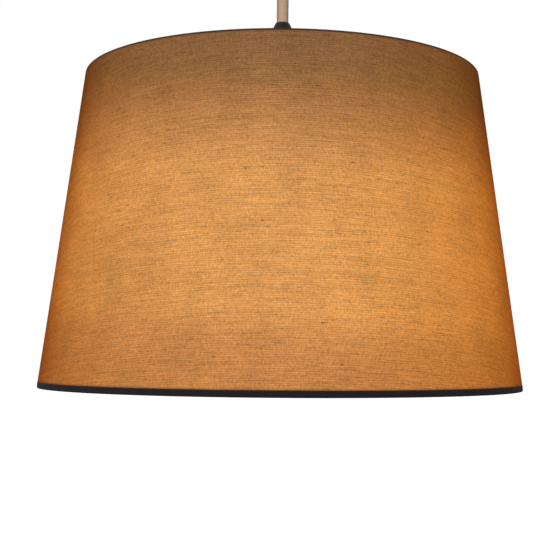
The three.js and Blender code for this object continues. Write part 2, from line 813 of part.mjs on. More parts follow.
function shadeSkins() {
  const coverTop = rimLevel - topTrimHeight - seatGap;
  const coverLow = shadeBottom + bottomTrimHeight + seatGap;
  add("fabric_cover", coneWall(coverTop, coverLow, 0, coverThickness), "linen");
  const linerOuter = coverThickness + seatGap;
  const linerTop = topWireZ - wireR - seatGap;
  const linerLow = bottomWireZ + wireR + seatGap;
  add("shade_liner", coneWall(linerTop, linerLow, linerOuter, linerOuter + linerThickness), "liner");
  const strip = coneWall(coverTop, coverLow, -seatGap - seamThickness, -seatGap);
  const reach = shadeBottomDiameter;
  const window = block(seamWidth, reach, shadeHeight * 2, [0, reach / 2, (coverTop + coverLow) / 2]);
  add("side_seam", shared(strip, window), "linen");
}

// Trims: fabric rolled over the top ring, and round the bottom ring with a leg up inside
function shadeTrims() {
  const thick = trimThickness;
  const inner = ringInset + wireR + seatGap;
  const topLow = rimLevel - topTrimHeight;
  const topUnder = rimLevel - thick;
  const top = [
    [coneR(topLow), topLow],
    [coneR(rimLevel), rimLevel],
    [coneR(rimLevel) - inner, rimLevel],
    [coneR(rimLevel) - inner, topUnder],
    [coneR(topUnder) - thick, topUnder],
    [coneR(topLow) - thick, topLow],
  ];
  add("top_trim", turnedRing(top, shadeSides), "trim");
  const outerHigh = shadeBottom + bottomTrimHeight;
  const innerHigh = shadeBottom + bottomTrimInnerHeight;
  const floor = shadeBottom + thick;
  const bottom = [
    [coneR(outerHigh), outerHigh],
    [coneR(outerHigh) - thick, outerHigh],
    [coneR(floor) - thick, floor],
    [coneR(floor) - inner, floor],
    [coneR(innerHigh) - inner, innerHigh],
    [coneR(innerHigh) - inner - thick, innerHigh],
    [coneR(shadeBottom) - inner - thick, shadeBottom],
    [coneR(shadeBottom), shadeBottom],
  ];
  add("bottom_trim", turnedRing(bottom, shadeSides), "trim");
}

// Lamp: screw cap, white housing with its driver, light board and an opal globe
function lampCap() {
  const tip = arc(0, 0, 1, 0, 90, arcSteps).slice(0, -1);
  const dome = tip.map(([r, z]) => [(r * tipDiameter) / 2, tipBottom + z * tipHeight]);
  add("tip_contact", turned([[0, tipBottom], ...dome, [0, tipTop]], smallSides), "brass");
  const insulator = [
    [0, insulatorBottom],
    [insulatorBottomDiameter / 2, insulatorBottom],
    [insulatorTopDiameter / 2, insulatorTop],
    [0, insulatorTop],
  ];
  add("cap_insulator", turned(insulator, smallSides), "blackPlastic");
  const capR = lampCapDiameter / 2;
  const shoulder = lampCapTop - lampCapTaper;
  const profile = [
    [capR - lampCapTaper, lampCapTop],
    [capR, shoulder],
    [capR, lampCapBottom],
    [capR - lampCapWall, lampCapBottom],
    [capR - lampCapWall, shoulder],
    [capR - lampCapTaper - lampCapWall, lampCapTop],
  ];
  add("lamp_cap", turnedRing(profile, bodySides), "nickel");
}

function housingR(level) {
  const share = (housingTop - level) / housingHeight;
  const swell = (1 - Math.cos(share * Math.PI)) / 2;
  return THREE.MathUtils.lerp(housingNeckDiameter, housingDiameter, swell) / 2;
}

function lampHousing() {
  const outer = [];
  const inner = [];
  for (let i = 0; i <= housingSteps; i += 1) {
    const level = housingTop - (housingHeight * i) / housingSteps;
    outer.push([housingR(level), level]);
    inner.unshift([housingR(level) - housingWall, level]);
  }
  const spigotR = lampCapDiameter / 2 - lampCapWall - seatGap;
  const spigotTop = housingTop + housingSpigot;
  const profile = [
    [spigotR, spigotTop],
    [spigotR, housingTop],
    ...outer,
    ...inner.slice(0, -1),
    [spigotR - housingWall, housingTop - housingWall],
    [spigotR - housingWall, spigotTop],
  ];
  add("lamp_housing", turnedRing(profile, bodySides), "whitePlastic");
  const boardTop = housingTop - boardDrop;
  const boardR = housingR(boardTop) - housingWall - seatGap;
  add("light_board", disc(boardR, boardTop - boardThickness, boardTop, bodySides), "board");
  const driverZ = boardTop + seatGap + driverDepth / 2;
  add("driver_board", block(driverWidth, boardThickness, driverDepth), "circuit", [0, 0, driverZ]);
}

function lampGlobe() {
  const outerR = globeDiameter / 2;
  const innerR = outerR - globeWall;
  const openR = housingDiameter / 2;
  const top = housingBottom - seatGap;
  const centre = top - Math.sqrt(outerR ** 2 - openR ** 2);
  const startDeg = THREE.MathUtils.radToDeg(Math.atan2(top - centre, openR));
  const innerDeg = THREE.MathUtils.radToDeg(Math.asin((top - centre) / innerR));
  const profile = [
    ...arc(0, centre, outerR, -90, startDeg, globeSteps),
    ...arc(0, centre, innerR, innerDeg, -90, globeSteps),
  ];
  profile[0][0] = 0;
  profile[profile.length - 1][0] = 0;
  add("lamp_globe", turned(profile, bodySides), "opal");
}

ceilingBracket();
canopyCup();
canopyScrews();
earthFixing();
terminalBlock();
flexClamp();
cordGrip();
canopyWiring();
freeFlex();
holderCap();
holderWiring();
holderContacts();
holderSkirt();
shadeRing();
fitter();
wireRings();
shadeSkins();
shadeTrims();
lampCap();
lampHousing();
lampGlobe();

export default model;
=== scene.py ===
"""Looks of a pendant light with a tapered fabric shade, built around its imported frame.

Lengths are in metres, in the frame's own axes, with the ceiling at height 0 and +Z up.
"""

import logging
import math
from collections.abc import Callable, Sequence
from dataclasses import dataclass, replace
from enum import Enum

import bmesh
import bpy
from mathutils import Matrix, Vector

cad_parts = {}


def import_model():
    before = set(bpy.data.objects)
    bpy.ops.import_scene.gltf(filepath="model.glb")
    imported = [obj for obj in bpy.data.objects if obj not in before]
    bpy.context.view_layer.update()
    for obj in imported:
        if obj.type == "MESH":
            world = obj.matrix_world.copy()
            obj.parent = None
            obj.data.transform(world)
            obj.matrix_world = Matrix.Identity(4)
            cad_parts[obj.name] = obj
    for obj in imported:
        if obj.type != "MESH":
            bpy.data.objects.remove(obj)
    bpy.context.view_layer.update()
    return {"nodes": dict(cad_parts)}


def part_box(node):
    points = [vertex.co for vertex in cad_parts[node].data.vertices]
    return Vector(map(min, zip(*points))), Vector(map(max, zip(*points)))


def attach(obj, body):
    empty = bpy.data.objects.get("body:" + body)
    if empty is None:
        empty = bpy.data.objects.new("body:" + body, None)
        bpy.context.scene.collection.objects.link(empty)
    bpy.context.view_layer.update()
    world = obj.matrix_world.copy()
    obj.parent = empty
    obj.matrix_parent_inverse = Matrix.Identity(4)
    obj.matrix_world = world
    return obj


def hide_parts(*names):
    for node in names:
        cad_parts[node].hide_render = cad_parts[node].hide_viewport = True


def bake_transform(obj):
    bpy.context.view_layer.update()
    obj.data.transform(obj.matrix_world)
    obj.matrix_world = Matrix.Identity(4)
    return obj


LOG = logging.getLogger("pendant")
MM = 0.001
FLEX_DIAMETER = 7.6 * MM
CLEARANCE = 0.3 * MM  # between pieces that don't touch
MOST_OF_SIDE = 0.45  # that a rounding may take at each end of a side
NO_LENGTH = 1e-9
END_ROUNDING = 0.12  # of a bar's radius
EASED_FROM = 32.0  # degrees between two faces
WALL_FROM, WALL_TO = 0.95, 1.01  # shares of a wall's radius, between which a point lies on it

Colour = tuple[float, float, float]
Point = tuple[float, float]
Place = tuple[float, float, float]
Relief = Callable[[float, float, float], float]
Stops = tuple[tuple[float, Colour], ...]
WHITE: Colour = (1.0, 1.0, 1.0)


class Body(Enum):
    """The bodies that whole pieces ride on."""

    BRACKET = "bracket"
    HOLDER = "holder"
    SHADE = "shade"
    RING = "ring"
    LAMP = "lamp"


class Recess(Enum):
    """The driver recess in a screw's head, with its half length as a share of the head's radius."""

    SLOT = 1.2
    CROSS = 0.58


class Value:
    """A number that varies over a surface, which adds its Math nodes as it is worked with."""

    def __init__(self, paint: "Paint", socket: bpy.types.NodeSocket) -> None:
        """Wraps an output socket of a paint's nodes."""
        self.paint = paint
        self.socket = socket

    def maths(self, operation: str, *others: "Value | float", flip: bool = False) -> "Value":
        """Adds one Math node.

        Args:
            operation: The Math node's operation.
            others: What stands beside this value in it.
            flip: Puts this value last in place of first.

        Returns:
            The node's result.
        """
        terms = (*others, self) if flip else (self, *others)
        made = self.paint.node("ShaderNodeMath", {"operation": operation}, dict(enumerate(terms)))
        return Value(self.paint, made.outputs[0])

    def __add__(self, other: "Value | float") -> "Value":
        """Sum."""
        return self.maths("ADD", other)

    def __sub__(self, other: "Value | float") -> "Value":
        """Difference."""
        return self.maths("SUBTRACT", other)

    def __rsub__(self, other: float) -> "Value":
        """Difference from a number."""
        return self.maths("SUBTRACT", other, flip=True)

    def __mul__(self, other: "Value | float") -> "Value":
        """Product."""
        return self.maths("MULTIPLY", other)

    def __truediv__(self, other: "Value | float") -> "Value":
        """Quotient."""
        return self.maths("DIVIDE", other)

    def __neg__(self) -> "Value":
        """The value with its sign changed."""
        return self.maths("MULTIPLY", -1.0)

    __radd__ = __add__
    __rmul__ = __mul__

    def sway(self, amount: float) -> "Value":
        """A noise's swing about its middle, times an amount."""
        return (self - 0.5) * amount

    def within(self, low: float, high: float) -> "Value":
        """The value as a share of the way from low to high."""
        return (self - low) / (high - low)

    def smooth(self, low: float, high: float) -> "Value":
        """A soft step from 0 at low to 1 at high.

        Args:
            low: Where the step starts.
            high: Where it ends.

        Returns:
            The step.
        """
        made = self.paint.node(
            "ShaderNodeMapRange",
            {"interpolation_type": "SMOOTHSTEP"},
            {"Value": self, "From Min": low, "From Max": high},
        )
        return Value(self.paint, made.outputs[0])


class Paint:
    """The nodes of one material or world."""

    def __init__(self, name: str, world: bool = False) -> None:
        """Makes it, without nodes.

        Args:
            name: Its name.
            world: Whether it is a world.
        """
        self.owner = (bpy.data.worlds if world else bpy.data.materials).new(name)
        self.owner.use_nodes = True
        if not world:
            # Glowing faces are wide and dim. Bounced light finds them, and the lamp keeps the direct rays.
            self.owner.cycles.emission_sampling = "NONE"
        self.tree = self.owner.node_tree
        self.tree.nodes.clear()

    def node(
        self, kind: str, settings: dict[str, object], sockets: dict[int | str, object]
    ) -> bpy.types.Node:
        """Adds one node.

        Args:
            kind: The node's type.
            settings: Its settings, set first; stops are a colour ramp's.
            sockets: What goes into its input sockets, values or links.

        Returns:
            The node.
        """
        made = self.tree.nodes.new(kind)
        for key, value in settings.items():
            if key == "stops":
                self.fill_ramp(made.color_ramp, value)
            else:
                setattr(made, key, value)
        for key, value in sockets.items():
            source = value.socket if isinstance(value, Value) else value
            if isinstance(source, bpy.types.NodeSocket):
                self.tree.links.new(source, made.inputs[key])
            else:
                made.inputs[key].default_value = source
        return made

    @staticmethod
    def fill_ramp(ramp: bpy.types.ColorRamp, stops: Stops) -> None:
        """Gives a colour ramp its stops.

        Args:
            ramp: The ramp, with the two stops of a new one.
            stops: Positions and colours, in order.
        """
        while len(ramp.elements) < len(stops):
            ramp.elements.new(1.0)
        for element, (position, colour) in zip(ramp.elements, stops):
            element.position = position
            element.color = opaque(colour)

    def place(self) -> bpy.types.NodeSocket:
        """The point on the piece, in the row frame's metres at rest."""
        return self.node("ShaderNodeTexCoord", {}, {}).outputs["Object"]

    def split(self, vector: bpy.types.NodeSocket) -> tuple[Value, Value, Value]:
        """The three numbers of a vector."""
        made = self.node("ShaderNodeSeparateXYZ", {}, {0: vector})
        return tuple(Value(self, made.outputs[k]) for k in range(3))

    def join(self, x: Value | float, y: Value | float, z: Value | float) -> bpy.types.NodeSocket:
        """A vector of three numbers."""
        return self.node("ShaderNodeCombineXYZ", {}, {0: x, 1: y, 2: z}).outputs[0]

    def noise(
        self, vector: bpy.types.NodeSocket, scale: float, detail: float = 2.0, roughness: float = 0.5
    ) -> Value:
        """Smooth noise from about 0 to 1.

        Args:
            vector: Where it is read.
            scale: Its waves per unit of the vector.
            detail: How many finer layers it has.
            roughness: How strong the finer layers are.

        Returns:
            The noise.
        """
        made = self.node(
            "ShaderNodeTexNoise",
            {},
            {"Vector": vector, "Scale": scale, "Detail": detail, "Roughness": roughness},
        )
        return Value(self, made.outputs[0])

    def stretched(
        self, vector: bpy.types.NodeSocket, by: bpy.types.NodeSocket | Place
    ) -> bpy.types.NodeSocket:
        """A vector or colour with each of its numbers multiplied by its own factor."""
        made = self.node("ShaderNodeVectorMath", {"operation": "MULTIPLY"}, {0: vector, 1: by})
        return made.outputs[0]

    def scaled(self, colour: bpy.types.NodeSocket | Colour, factor: Value) -> bpy.types.NodeSocket:
        """A colour made lighter or darker by a factor."""
        made = self.node("ShaderNodeVectorMath", {"operation": "SCALE"}, {0: colour, "Scale": factor})
        return made.outputs[0]

    def mixed(
        self,
        share: Value,
        first: bpy.types.NodeSocket | Colour,
        second: bpy.types.NodeSocket | Colour,
    ) -> bpy.types.NodeSocket:
        """A mix of two colours, with that share of the second one."""
        one, other = (opaque(c) if isinstance(c, tuple) else c for c in (first, second))
        return self.node("ShaderNodeMix", {"data_type": "RGBA"}, {0: share, 6: one, 7: other}).outputs[2]

    def ramp(self, value: Value, stops: Stops) -> bpy.types.NodeSocket:
        """The colour that a ramp of stops has at a value."""
        return self.node("ShaderNodeValToRGB", {"stops": stops}, {0: value}).outputs[0]

    def bump(self, height: Value, depth: float, strength: float = 1.0) -> bpy.types.NodeSocket:
        """The normal of a relief whose height from 0 to 1 is so deep, in metres."""
        made = self.node("ShaderNodeBump", {}, {"Strength": strength, "Distance": depth, "Height": height})
        return made.outputs[0]

    def shaded(self, **sockets: object) -> bpy.types.Material:
        """Closes a material with its Principled shader.

        Args:
            sockets: The shader's sockets, with an underscore for each space in a name.

        Returns:
            The finished material.
        """
        named = {key.replace("_", " "): value for key, value in sockets.items()}
        shader = self.node("ShaderNodeBsdfPrincipled", {}, named)
        self.node("ShaderNodeOutputMaterial", {}, {"Surface": shader.outputs[0]})
        return self.owner


def opaque(colour: Colour) -> tuple[float, float, float, float]:
    """A colour as a shader socket takes it."""
    return (*colour, 1.0)


@dataclass(frozen=True)
class Moulded:
    """Moulded plastic, glazed ceramic or glass, with fine grain and a handled gloss."""

    name: str
    slot: str
    colour: Colour
    roughness: float = 0.42
    specular: float = 0.5
    grain: float = 2600.0
    depth: float = 0.03 * MM
    mottle: float = 0.12
    grains_per_cloud: float = 45.0
    handled: float = 0.14
    dusted: float = 0.1

    def material(self) -> bpy.types.Material:
        """Builds the finish.

        Returns:
            Its material.
        """
        paint = Paint(self.name)
        place = paint.place()
        grain = paint.noise(place, self.grain, detail=3.0, roughness=0.6)
        cloud = paint.noise(place, self.grain / self.grains_per_cloud, detail=3.0)
        return paint.shaded(
            Base_Color=paint.scaled(self.colour, 1.0 + cloud.sway(self.mottle) + grain.sway(self.mottle)),
            Roughness=self.roughness + cloud.sway(self.handled) + grain.sway(self.dusted),
            Normal=paint.bump(grain, self.depth),
            Specular_IOR_Level=self.specular,
        )


@dataclass(frozen=True)
class Metal:
    """Bare or plated metal, drawn in one direction, with dull handled places."""

    name: str
    slot: str
    colour: Colour
    roughness: float = 0.3
    drawn: Place = (1500.0, 1500.0, 120.0)
    tarnish: Colour = (0.32, 0.31, 0.3)
    clouds: float = 95.0
    dull_from: float = 0.52
    dull_to: float = 0.78
    tarnished: float = 0.4
    dulled: float = 0.5
    lined: float = 0.16
    depth: float = 0.012 * MM

    def material(self) -> bpy.types.Material:
        """Builds the finish.

        Returns:
            Its material.
        """
        paint = Paint(self.name)
        place = paint.place()
        lines = paint.noise(paint.stretched(place, self.drawn), 1.0, detail=3.0, roughness=0.6)
        cloud = paint.noise(place, self.clouds, detail=4.0, roughness=0.6)
        dull = cloud.smooth(self.dull_from, self.dull_to) * self.tarnished
        base = paint.mixed(dull, self.colour, self.tarnish)
        return paint.shaded(
            Base_Color=paint.scaled(base, 1.0 + lines.sway(self.lined)),
            Metallic=1.0,
            Roughness=self.roughness + dull * self.dulled + lines.sway(self.lined),
            Normal=paint.bump(lines, self.depth),
        )


@dataclass(frozen=True)
class Coated:
    """Powder-coated steel, with the coat's orange peel and a few fine specks."""

    name: str
    slot: str
    colour: Colour
    roughness: float = 0.45
    peel: float = 1100.0
    specks_per_peel: float = 2.2
    speck_from: float = 0.7
    speck_to: float = 0.78
    speckled: float = 0.25
    speck_rough: float = 0.1
    clouds: float = 40.0
    clouded: float = 0.1
    handled: float = 0.12
    depth: float = 0.05 * MM

    def material(self) -> bpy.types.Material:
        """Builds the finish.

        Returns:
            Its material.
        """
        paint = Paint(self.name)
        place = paint.place()
        peel = paint.noise(place, self.peel, detail=2.0)
        specks = paint.noise(place, self.peel * self.specks_per_peel, detail=1.0)
        speck = specks.smooth(self.speck_from, self.speck_to)
        cloud = paint.noise(place, self.clouds, detail=3.0)
        return paint.shaded(
            Base_Color=paint.scaled(self.colour, 1.0 + cloud.sway(self.clouded) - speck * self.speckled),
            Roughness=self.roughness + cloud.sway(self.handled) + speck * self.speck_rough,
            Normal=paint.bump(peel, self.depth, strength=0.7),
            Specular_IOR_Level=0.42,
        )


@dataclass(frozen=True)
class Sleeve:
    """The flex's smooth sheath, with soft streaks along it from the extruder."""

    name: str = "flex_sheath_finish"
    slot: str = "flex_sheath"
    colour: Colour = (0.925, 0.715, 0.50)
    shade: Colour = (0.838, 0.652, 0.469)
    edge: Colour = (0.64, 0.63, 0.64)
    roughness: float = 0.55
    streaks: Place = (800.0, 800.0, 22.0)
    bands: Place = (360.0, 360.0, 9.0)
    grain: float = 1500.0
    streaked: float = 0.12
    grained: float = 0.05
    grain_relief: float = 0.3
    depth: float = 0.008 * MM

    def material(self) -> bpy.types.Material:
        """Builds the finish.

        Returns:
            Its material.
        """
        paint = Paint(self.name)
        place = paint.place()
        streak = paint.noise(paint.stretched(place, self.streaks), 1.0, detail=1.0)
        band = paint.noise(paint.stretched(place, self.bands), 1.0, detail=1.0)
        grain = paint.noise(place, self.grain, detail=1.0)
        tint = 1.0 + streak.sway(self.streaked) + grain.sway(self.grained)
        return paint.shaded(
            Base_Color=paint.scaled(paint.mixed(band, self.colour, self.shade), tint),
            Roughness=self.roughness + streak.sway(self.streaked),
            Normal=paint.bump(streak + grain * self.grain_relief, self.depth),
            Specular_IOR_Level=0.3,
            Coat_Weight=1.0,
            Coat_IOR=1.02,
            Coat_Roughness=0.6,
            Coat_Tint=opaque(self.edge),
        )


@dataclass(frozen=True)
class Streaks:
    """Streaks along the weft: how long and strong they are, and a shift that keeps them apart."""

    length: float
    strength: float
    shift: float


@dataclass(frozen=True)
class Patches:
    """Soft patches in the cloth: their size across and along the cut, a shift, and their strength."""

    across: float
    along: float
    shift: float
    strength: float
    detail: float = 1.0
    roughness: float = 0.5


@dataclass(frozen=True)
class ConeWeave:
    """The lie of cloth that was cut flat and rolled into the shade's cone.

    The threads follow the flat cut, whose middle line stands at the front, so the weft runs level there
    and falls away towards both sides.
    """

    rim: float
    rim_radius: float
    slope: float
    pitch: float = 0.6 * MM
    thread_shift: Point = (17.31, 5.17)

    def flat(self, paint: Paint) -> tuple[Value, Value, Value, Value]:
        """Where a point of the cloth lay in the flat cut.

        Args:
            paint: The material that asks.

        Returns:
            The distance across the cut and along it, and the sideways place and height in the frame.
        """
        x, y, z = paint.split(paint.place())
        sine = self.slope / math.hypot(1.0, self.slope)
        radius = self.rim_radius + (self.rim - z) * self.slope
        slant = radius / sine
        angle = x.maths("ARCTAN2", -y) * sine
        return slant * angle.maths("SINE"), slant * angle.maths("COSINE"), x, z

    def streaks(self, paint: Paint, across: Value, row: Value, kind: Streaks) -> Value:
        """Noise along each weft thread, with nothing shared between one thread and the next.

        Args:
            paint: The material that asks.
            across: The distance across the cut.
            row: The thread's number.
            kind: Which streaks they are.

        Returns:
            The noise, from about 0 to 1.
        """
        aside, down = self.thread_shift
        vector = paint.join(across / kind.length + row * aside, row * down + kind.shift, kind.shift)
        return paint.noise(vector, 1.0, detail=1.0)

    def patches(self, paint: Paint, across: Value, along: Value, kind: Patches) -> Value:
        """Noise in soft patches over the flat cut.

        Args:
            paint: The material that asks.
            across: The distance across the cut.
            along: The distance along it.
            kind: Which patches they are.

        Returns:
            The noise, from about 0 to 1.
        """
        vector = paint.join(across / kind.across, along / kind.along, kind.shift)
        return paint.noise(vector, 1.0, kind.detail, kind.roughness)


@dataclass(frozen=True)
class Linen:
    """The lit cover: coarse linen on a clear backing, glowing from the lamp behind it.

    The glow is seen through a tinted coat, which darkens it where the cloth turns away from the eye. So
    each stop of the glow is divided by the coat's tint first. The heights are those of the short and the
    middle streaks, the slubs and the gaps between threads in the relief.
    """

    weave: ConeWeave
    low: float
    high: float
    name: str = "linen_cover_finish"
    slot: str = "linen"
    cloth: Colour = (0.115, 0.064, 0.03)
    limb: Colour = (0.80, 0.685, 0.525)
    # Painted light: towards the +X side the glow takes this warmer tint, over this reach.
    side_glow_tint: Colour = (1.02, 0.915, 0.63)
    side_glow_reach: float = 120 * MM
    power: float = 1.0
    # Painted light: the glow's ramp leans with the sideways place, so its bands lie lower towards +X.
    lean: float = 0.3
    short: Streaks = Streaks(1.6 * MM, 0.44, 3.1)
    middle: Streaks = Streaks(5.5 * MM, 0.46, 11.7)
    long: Streaks = Streaks(22 * MM, 0.54, 29.3)
    slub: Streaks = Streaks(7 * MM, 0.42, 53.9)
    slub_from: float = 0.70
    slub_to: float = 0.80
    ribs: Patches = Patches(8 * MM, 3.2 * MM, 41.0, 0.22)
    rib_from: float = 0.30
    rib_to: float = 0.72
    warp: Patches = Patches(0.52 * MM, 1.8 * MM, 7.7, 0.85)
    cloud: Patches = Patches(60 * MM, 30 * MM, 2.3, 0.24, 2.5, 0.55)
    drape: Patches = Patches(21 * MM, 40 * MM, 61.0, 0.36, 1.5)
    hem_shadow: float = 0.5
    hem_edge: Point = (-0.3 * MM, 1.6 * MM)
    rim_shadow: float = 0.45
    rim_edge: Point = (-0.3 * MM, 1.2 * MM)
    roughness: float = 0.86
    fuzz: float = 0.1
    heights: tuple[float, ...] = (0.5, 0.3, 0.6, 0.35)
    depth: float = 0.09 * MM
    glow: Stops = (
        (0.0, (0.47, 0.185, 0.050)),
        (0.12, (0.52, 0.21, 0.061)),
        (0.22, (0.63, 0.28, 0.080)),
        (0.60, (0.63, 0.29, 0.085)),
        (0.70, (0.49, 0.215, 0.068)),
        (0.80, (0.34, 0.145, 0.049)),
        (0.90, (0.215, 0.10, 0.036)),
        (1.0, (0.17, 0.08, 0.034)),
    )

    def before_coat(self) -> Stops:
        """The glow's stops, as they are under the coat."""
        return tuple((at, tuple(c / t for c, t in zip(colour, self.limb))) for at, colour in self.glow)

    def material(self) -> bpy.types.Material:
        """Builds the finish.

        Returns:
            Its material.
        """
        paint = Paint(self.name)
        across, along, sideways, height = self.weave.flat(paint)
        thread = along / self.weave.pitch
        row = thread.maths("FLOOR")
        short, middle, long, slubs = (
            self.weave.streaks(paint, across, row, kind)
            for kind in (self.short, self.middle, self.long, self.slub)
        )
        slub = slubs.smooth(self.slub_from, self.slub_to)
        crown = (thread.maths("FRACT") * math.tau).maths("COSINE")
        ribs, warp, cloud, drape = (
            self.weave.patches(paint, across, along, kind)
            for kind in (self.ribs, self.warp, self.cloud, self.drape)
        )
        rib = (thread * math.pi).maths("COSINE") * ribs.smooth(self.rib_from, self.rib_to)
        texture = (
            1.0
            + short.sway(self.short.strength)
            + middle.sway(self.middle.strength)
            + long.sway(self.long.strength)
            + warp.sway(self.warp.strength)
            + rib * self.ribs.strength
            - slub * self.slub.strength
        )
        share = height.within(self.low, self.high) + sideways * self.lean
        # Painted shadow of the wire rings: cloth and glow darken just above the hem, and the glow just
        # below the rim.
        hem = (height - self.low).smooth(*self.hem_edge) * self.hem_shadow + (1 - self.hem_shadow)
        cap = (self.high - height).smooth(*self.rim_edge) * self.rim_shadow + (1 - self.rim_shadow)
        clouded = 1.0 + cloud.sway(self.cloud.strength) + drape.sway(self.drape.strength)
        # Painted light: the glow is warmed towards the +X side.
        tone = paint.mixed(sideways.smooth(0.0, self.side_glow_reach), WHITE, self.side_glow_tint)
        glow = paint.stretched(paint.ramp(share, self.before_coat()), tone)
        tall = self.heights
        relief = short * tall[0] + middle * tall[1] + slub * tall[2] - crown * tall[3]
        return paint.shaded(
            Base_Color=paint.scaled(self.cloth, texture * hem),
            Roughness=self.roughness + short.sway(self.fuzz),
            Normal=paint.bump(relief, self.depth, strength=0.6),
            Specular_IOR_Level=0.15,
            Emission_Color=paint.scaled(glow, texture * clouded * hem * cap),
            Emission_Strength=self.power,
            Coat_Weight=1.0,
            Coat_IOR=1.02,
            Coat_Roughness=0.7,
            Coat_Tint=opaque(self.limb),
        )


@dataclass(frozen=True)
class RolledLinen:
    """Cloth tape rolled over a wire, threads across and along, near-black as painted shade of the unlit
    hem.
    """

    name: str = "shaded_hem_finish"
    slot: str = "dark_trim"
    # Painted shade: near-black, since no lamp light passes through the rolled cloth and wire.
    colour: Colour = (0.0195, 0.017, 0.0205)
    threads: float = 1150.0
    rows: float = 9000.0
    woven: float = 0.12
    fibres: Point = (150.0, 900.0)
    fibrous: float = 0.35
    clouds: Point = (9.0, 60.0)
    clouded: float = 0.2
    tone: float = 0.86
    roughness: float = 0.9
    fuzz: float = 0.14
    weave_height: float = 0.4
    depth: float = 0.08 * MM
    # Painted light: just below the level edge, over this width, the tape takes this reddish-brown glow
    # where lamp light leaks past the cloth's lapped edge. At 1.0 the level lies above the shade and paints
    # nothing.
    edge: float = 1.0
    glow_bleed_width: float = 0.6 * MM
    glow_bleed_colour: Colour = (0.075, 0.032, 0.014)

    def material(self) -> bpy.types.Material:
        """Builds the finish.

        Returns:
            Its material.
        """
        paint = Paint(self.name)
        x, y, z = paint.split(paint.place())
        turn = x.maths("ARCTAN2", -y)
        weave = (turn * self.threads).maths("SINE") * (z * self.rows).maths("SINE")
        round_by, down_by = self.fibres
        fibre = paint.noise(paint.join(turn * round_by, z * down_by, 0.0), 4.0, detail=3.0)
        round_by, down_by = self.clouds
        cloud = paint.noise(paint.join(turn * round_by, z * down_by, 4.0), 1.0, detail=2.0)
        tint = self.tone + weave * self.woven + fibre * self.fibrous + cloud.sway(self.clouded)
        # Painted light: a reddish-brown glow just below the edge level.
        lit = (z - self.edge).smooth(-self.glow_bleed_width, 0.0)
        return paint.shaded(
            Base_Color=paint.scaled(paint.mixed(lit, self.colour, self.glow_bleed_colour), tint),
            Roughness=self.roughness + fibre.sway(self.fuzz),
            Normal=paint.bump(weave * self.weave_height + fibre, self.depth, strength=0.7),
            Specular_IOR_Level=0.08,
            Sheen_Weight=0.015,
            Sheen_Roughness=0.5,
        )


@dataclass(frozen=True)
class Film:
    """The clear plastic sheet that backs the cloth, which glows with the lamp in front of it."""

    low: float
    high: float
    name: str = "liner_film_finish"
    slot: str = "liner"
    colour: Colour = (0.66, 0.50, 0.31)
    power: float = 0.42
    roughness: float = 0.42
    hazed: float = 0.16
    clouds: float = 26.0
    clouded: float = 0.12
    grain: Place = (900.0, 900.0, 1500.0)
    grained: float = 0.16
    depth: float = 0.04 * MM
    glow: Stops = (
        (0.0, (0.55, 0.34, 0.16)),
        (0.35, (0.80, 0.54, 0.28)),
        (0.6, (0.78, 0.52, 0.27)),
        (1.0, (0.34, 0.21, 0.10)),
    )

    def material(self) -> bpy.types.Material:
        """Builds the finish.

        Returns:
            Its material.
        """
        paint = Paint(self.name)
        place = paint.place()
        haze = paint.noise(place, self.clouds, detail=3.0)
        grain = paint.noise(paint.stretched(place, self.grain), 1.0, detail=2.0, roughness=0.6)
        tint = 1.0 + haze.sway(self.clouded) + grain.sway(self.grained)
        share = paint.split(place)[2].within(self.low, self.high)
        return paint.shaded(
            Base_Color=paint.scaled(self.colour, tint),
            Roughness=self.roughness + haze * self.hazed,
            Normal=paint.bump(grain, self.depth, strength=0.6),
            Emission_Color=paint.scaled(paint.ramp(share, self.glow), tint),
            Emission_Strength=self.power,
        )


@dataclass(frozen=True)
class Opal:
    """Opal plastic globe, lit from inside, brightest below its light board.

    Its tone and its light each have a level and the haze's share of it.
    """

    low: float
    high: float
    name: str = "opal_globe_finish"
    slot: str = "opal"
    colour: Colour = (0.86, 0.83, 0.76)
    power: float = 0.9
    tone: Point = (0.98, 0.06)
    light: Point = (0.97, 0.08)
    roughness: float = 0.34
    hazed: float = 0.14
    clouds: float = 70.0
    grain: float = 2400.0
    depth: float = 0.012 * MM
    glow: Stops = (
        (0.0, (1.0, 0.85, 0.60)),
        (0.45, (0.96, 0.78, 0.50)),
        (0.8, (0.78, 0.58, 0.33)),
        (1.0, (0.50, 0.34, 0.18)),
    )

    def material(self) -> bpy.types.Material:
        """Builds the finish.

        Returns:
            Its material.
        """
        paint = Paint(self.name)
        place = paint.place()
        haze = paint.noise(place, self.clouds, detail=3.0)
        grain = paint.noise(place, self.grain, detail=2.0)
        share = paint.split(place)[2].within(self.low, self.high)
        return paint.shaded(
            Base_Color=paint.scaled(self.colour, self.tone[0] + haze.sway(self.tone[1])),
            Roughness=self.roughness + haze * self.hazed,
            Normal=paint.bump(grain, self.depth),
            Emission_Color=paint.scaled(
                paint.ramp(share, self.glow), self.light[0] + haze.sway(self.light[1])
            ),
            Emission_Strength=self.power,
        )


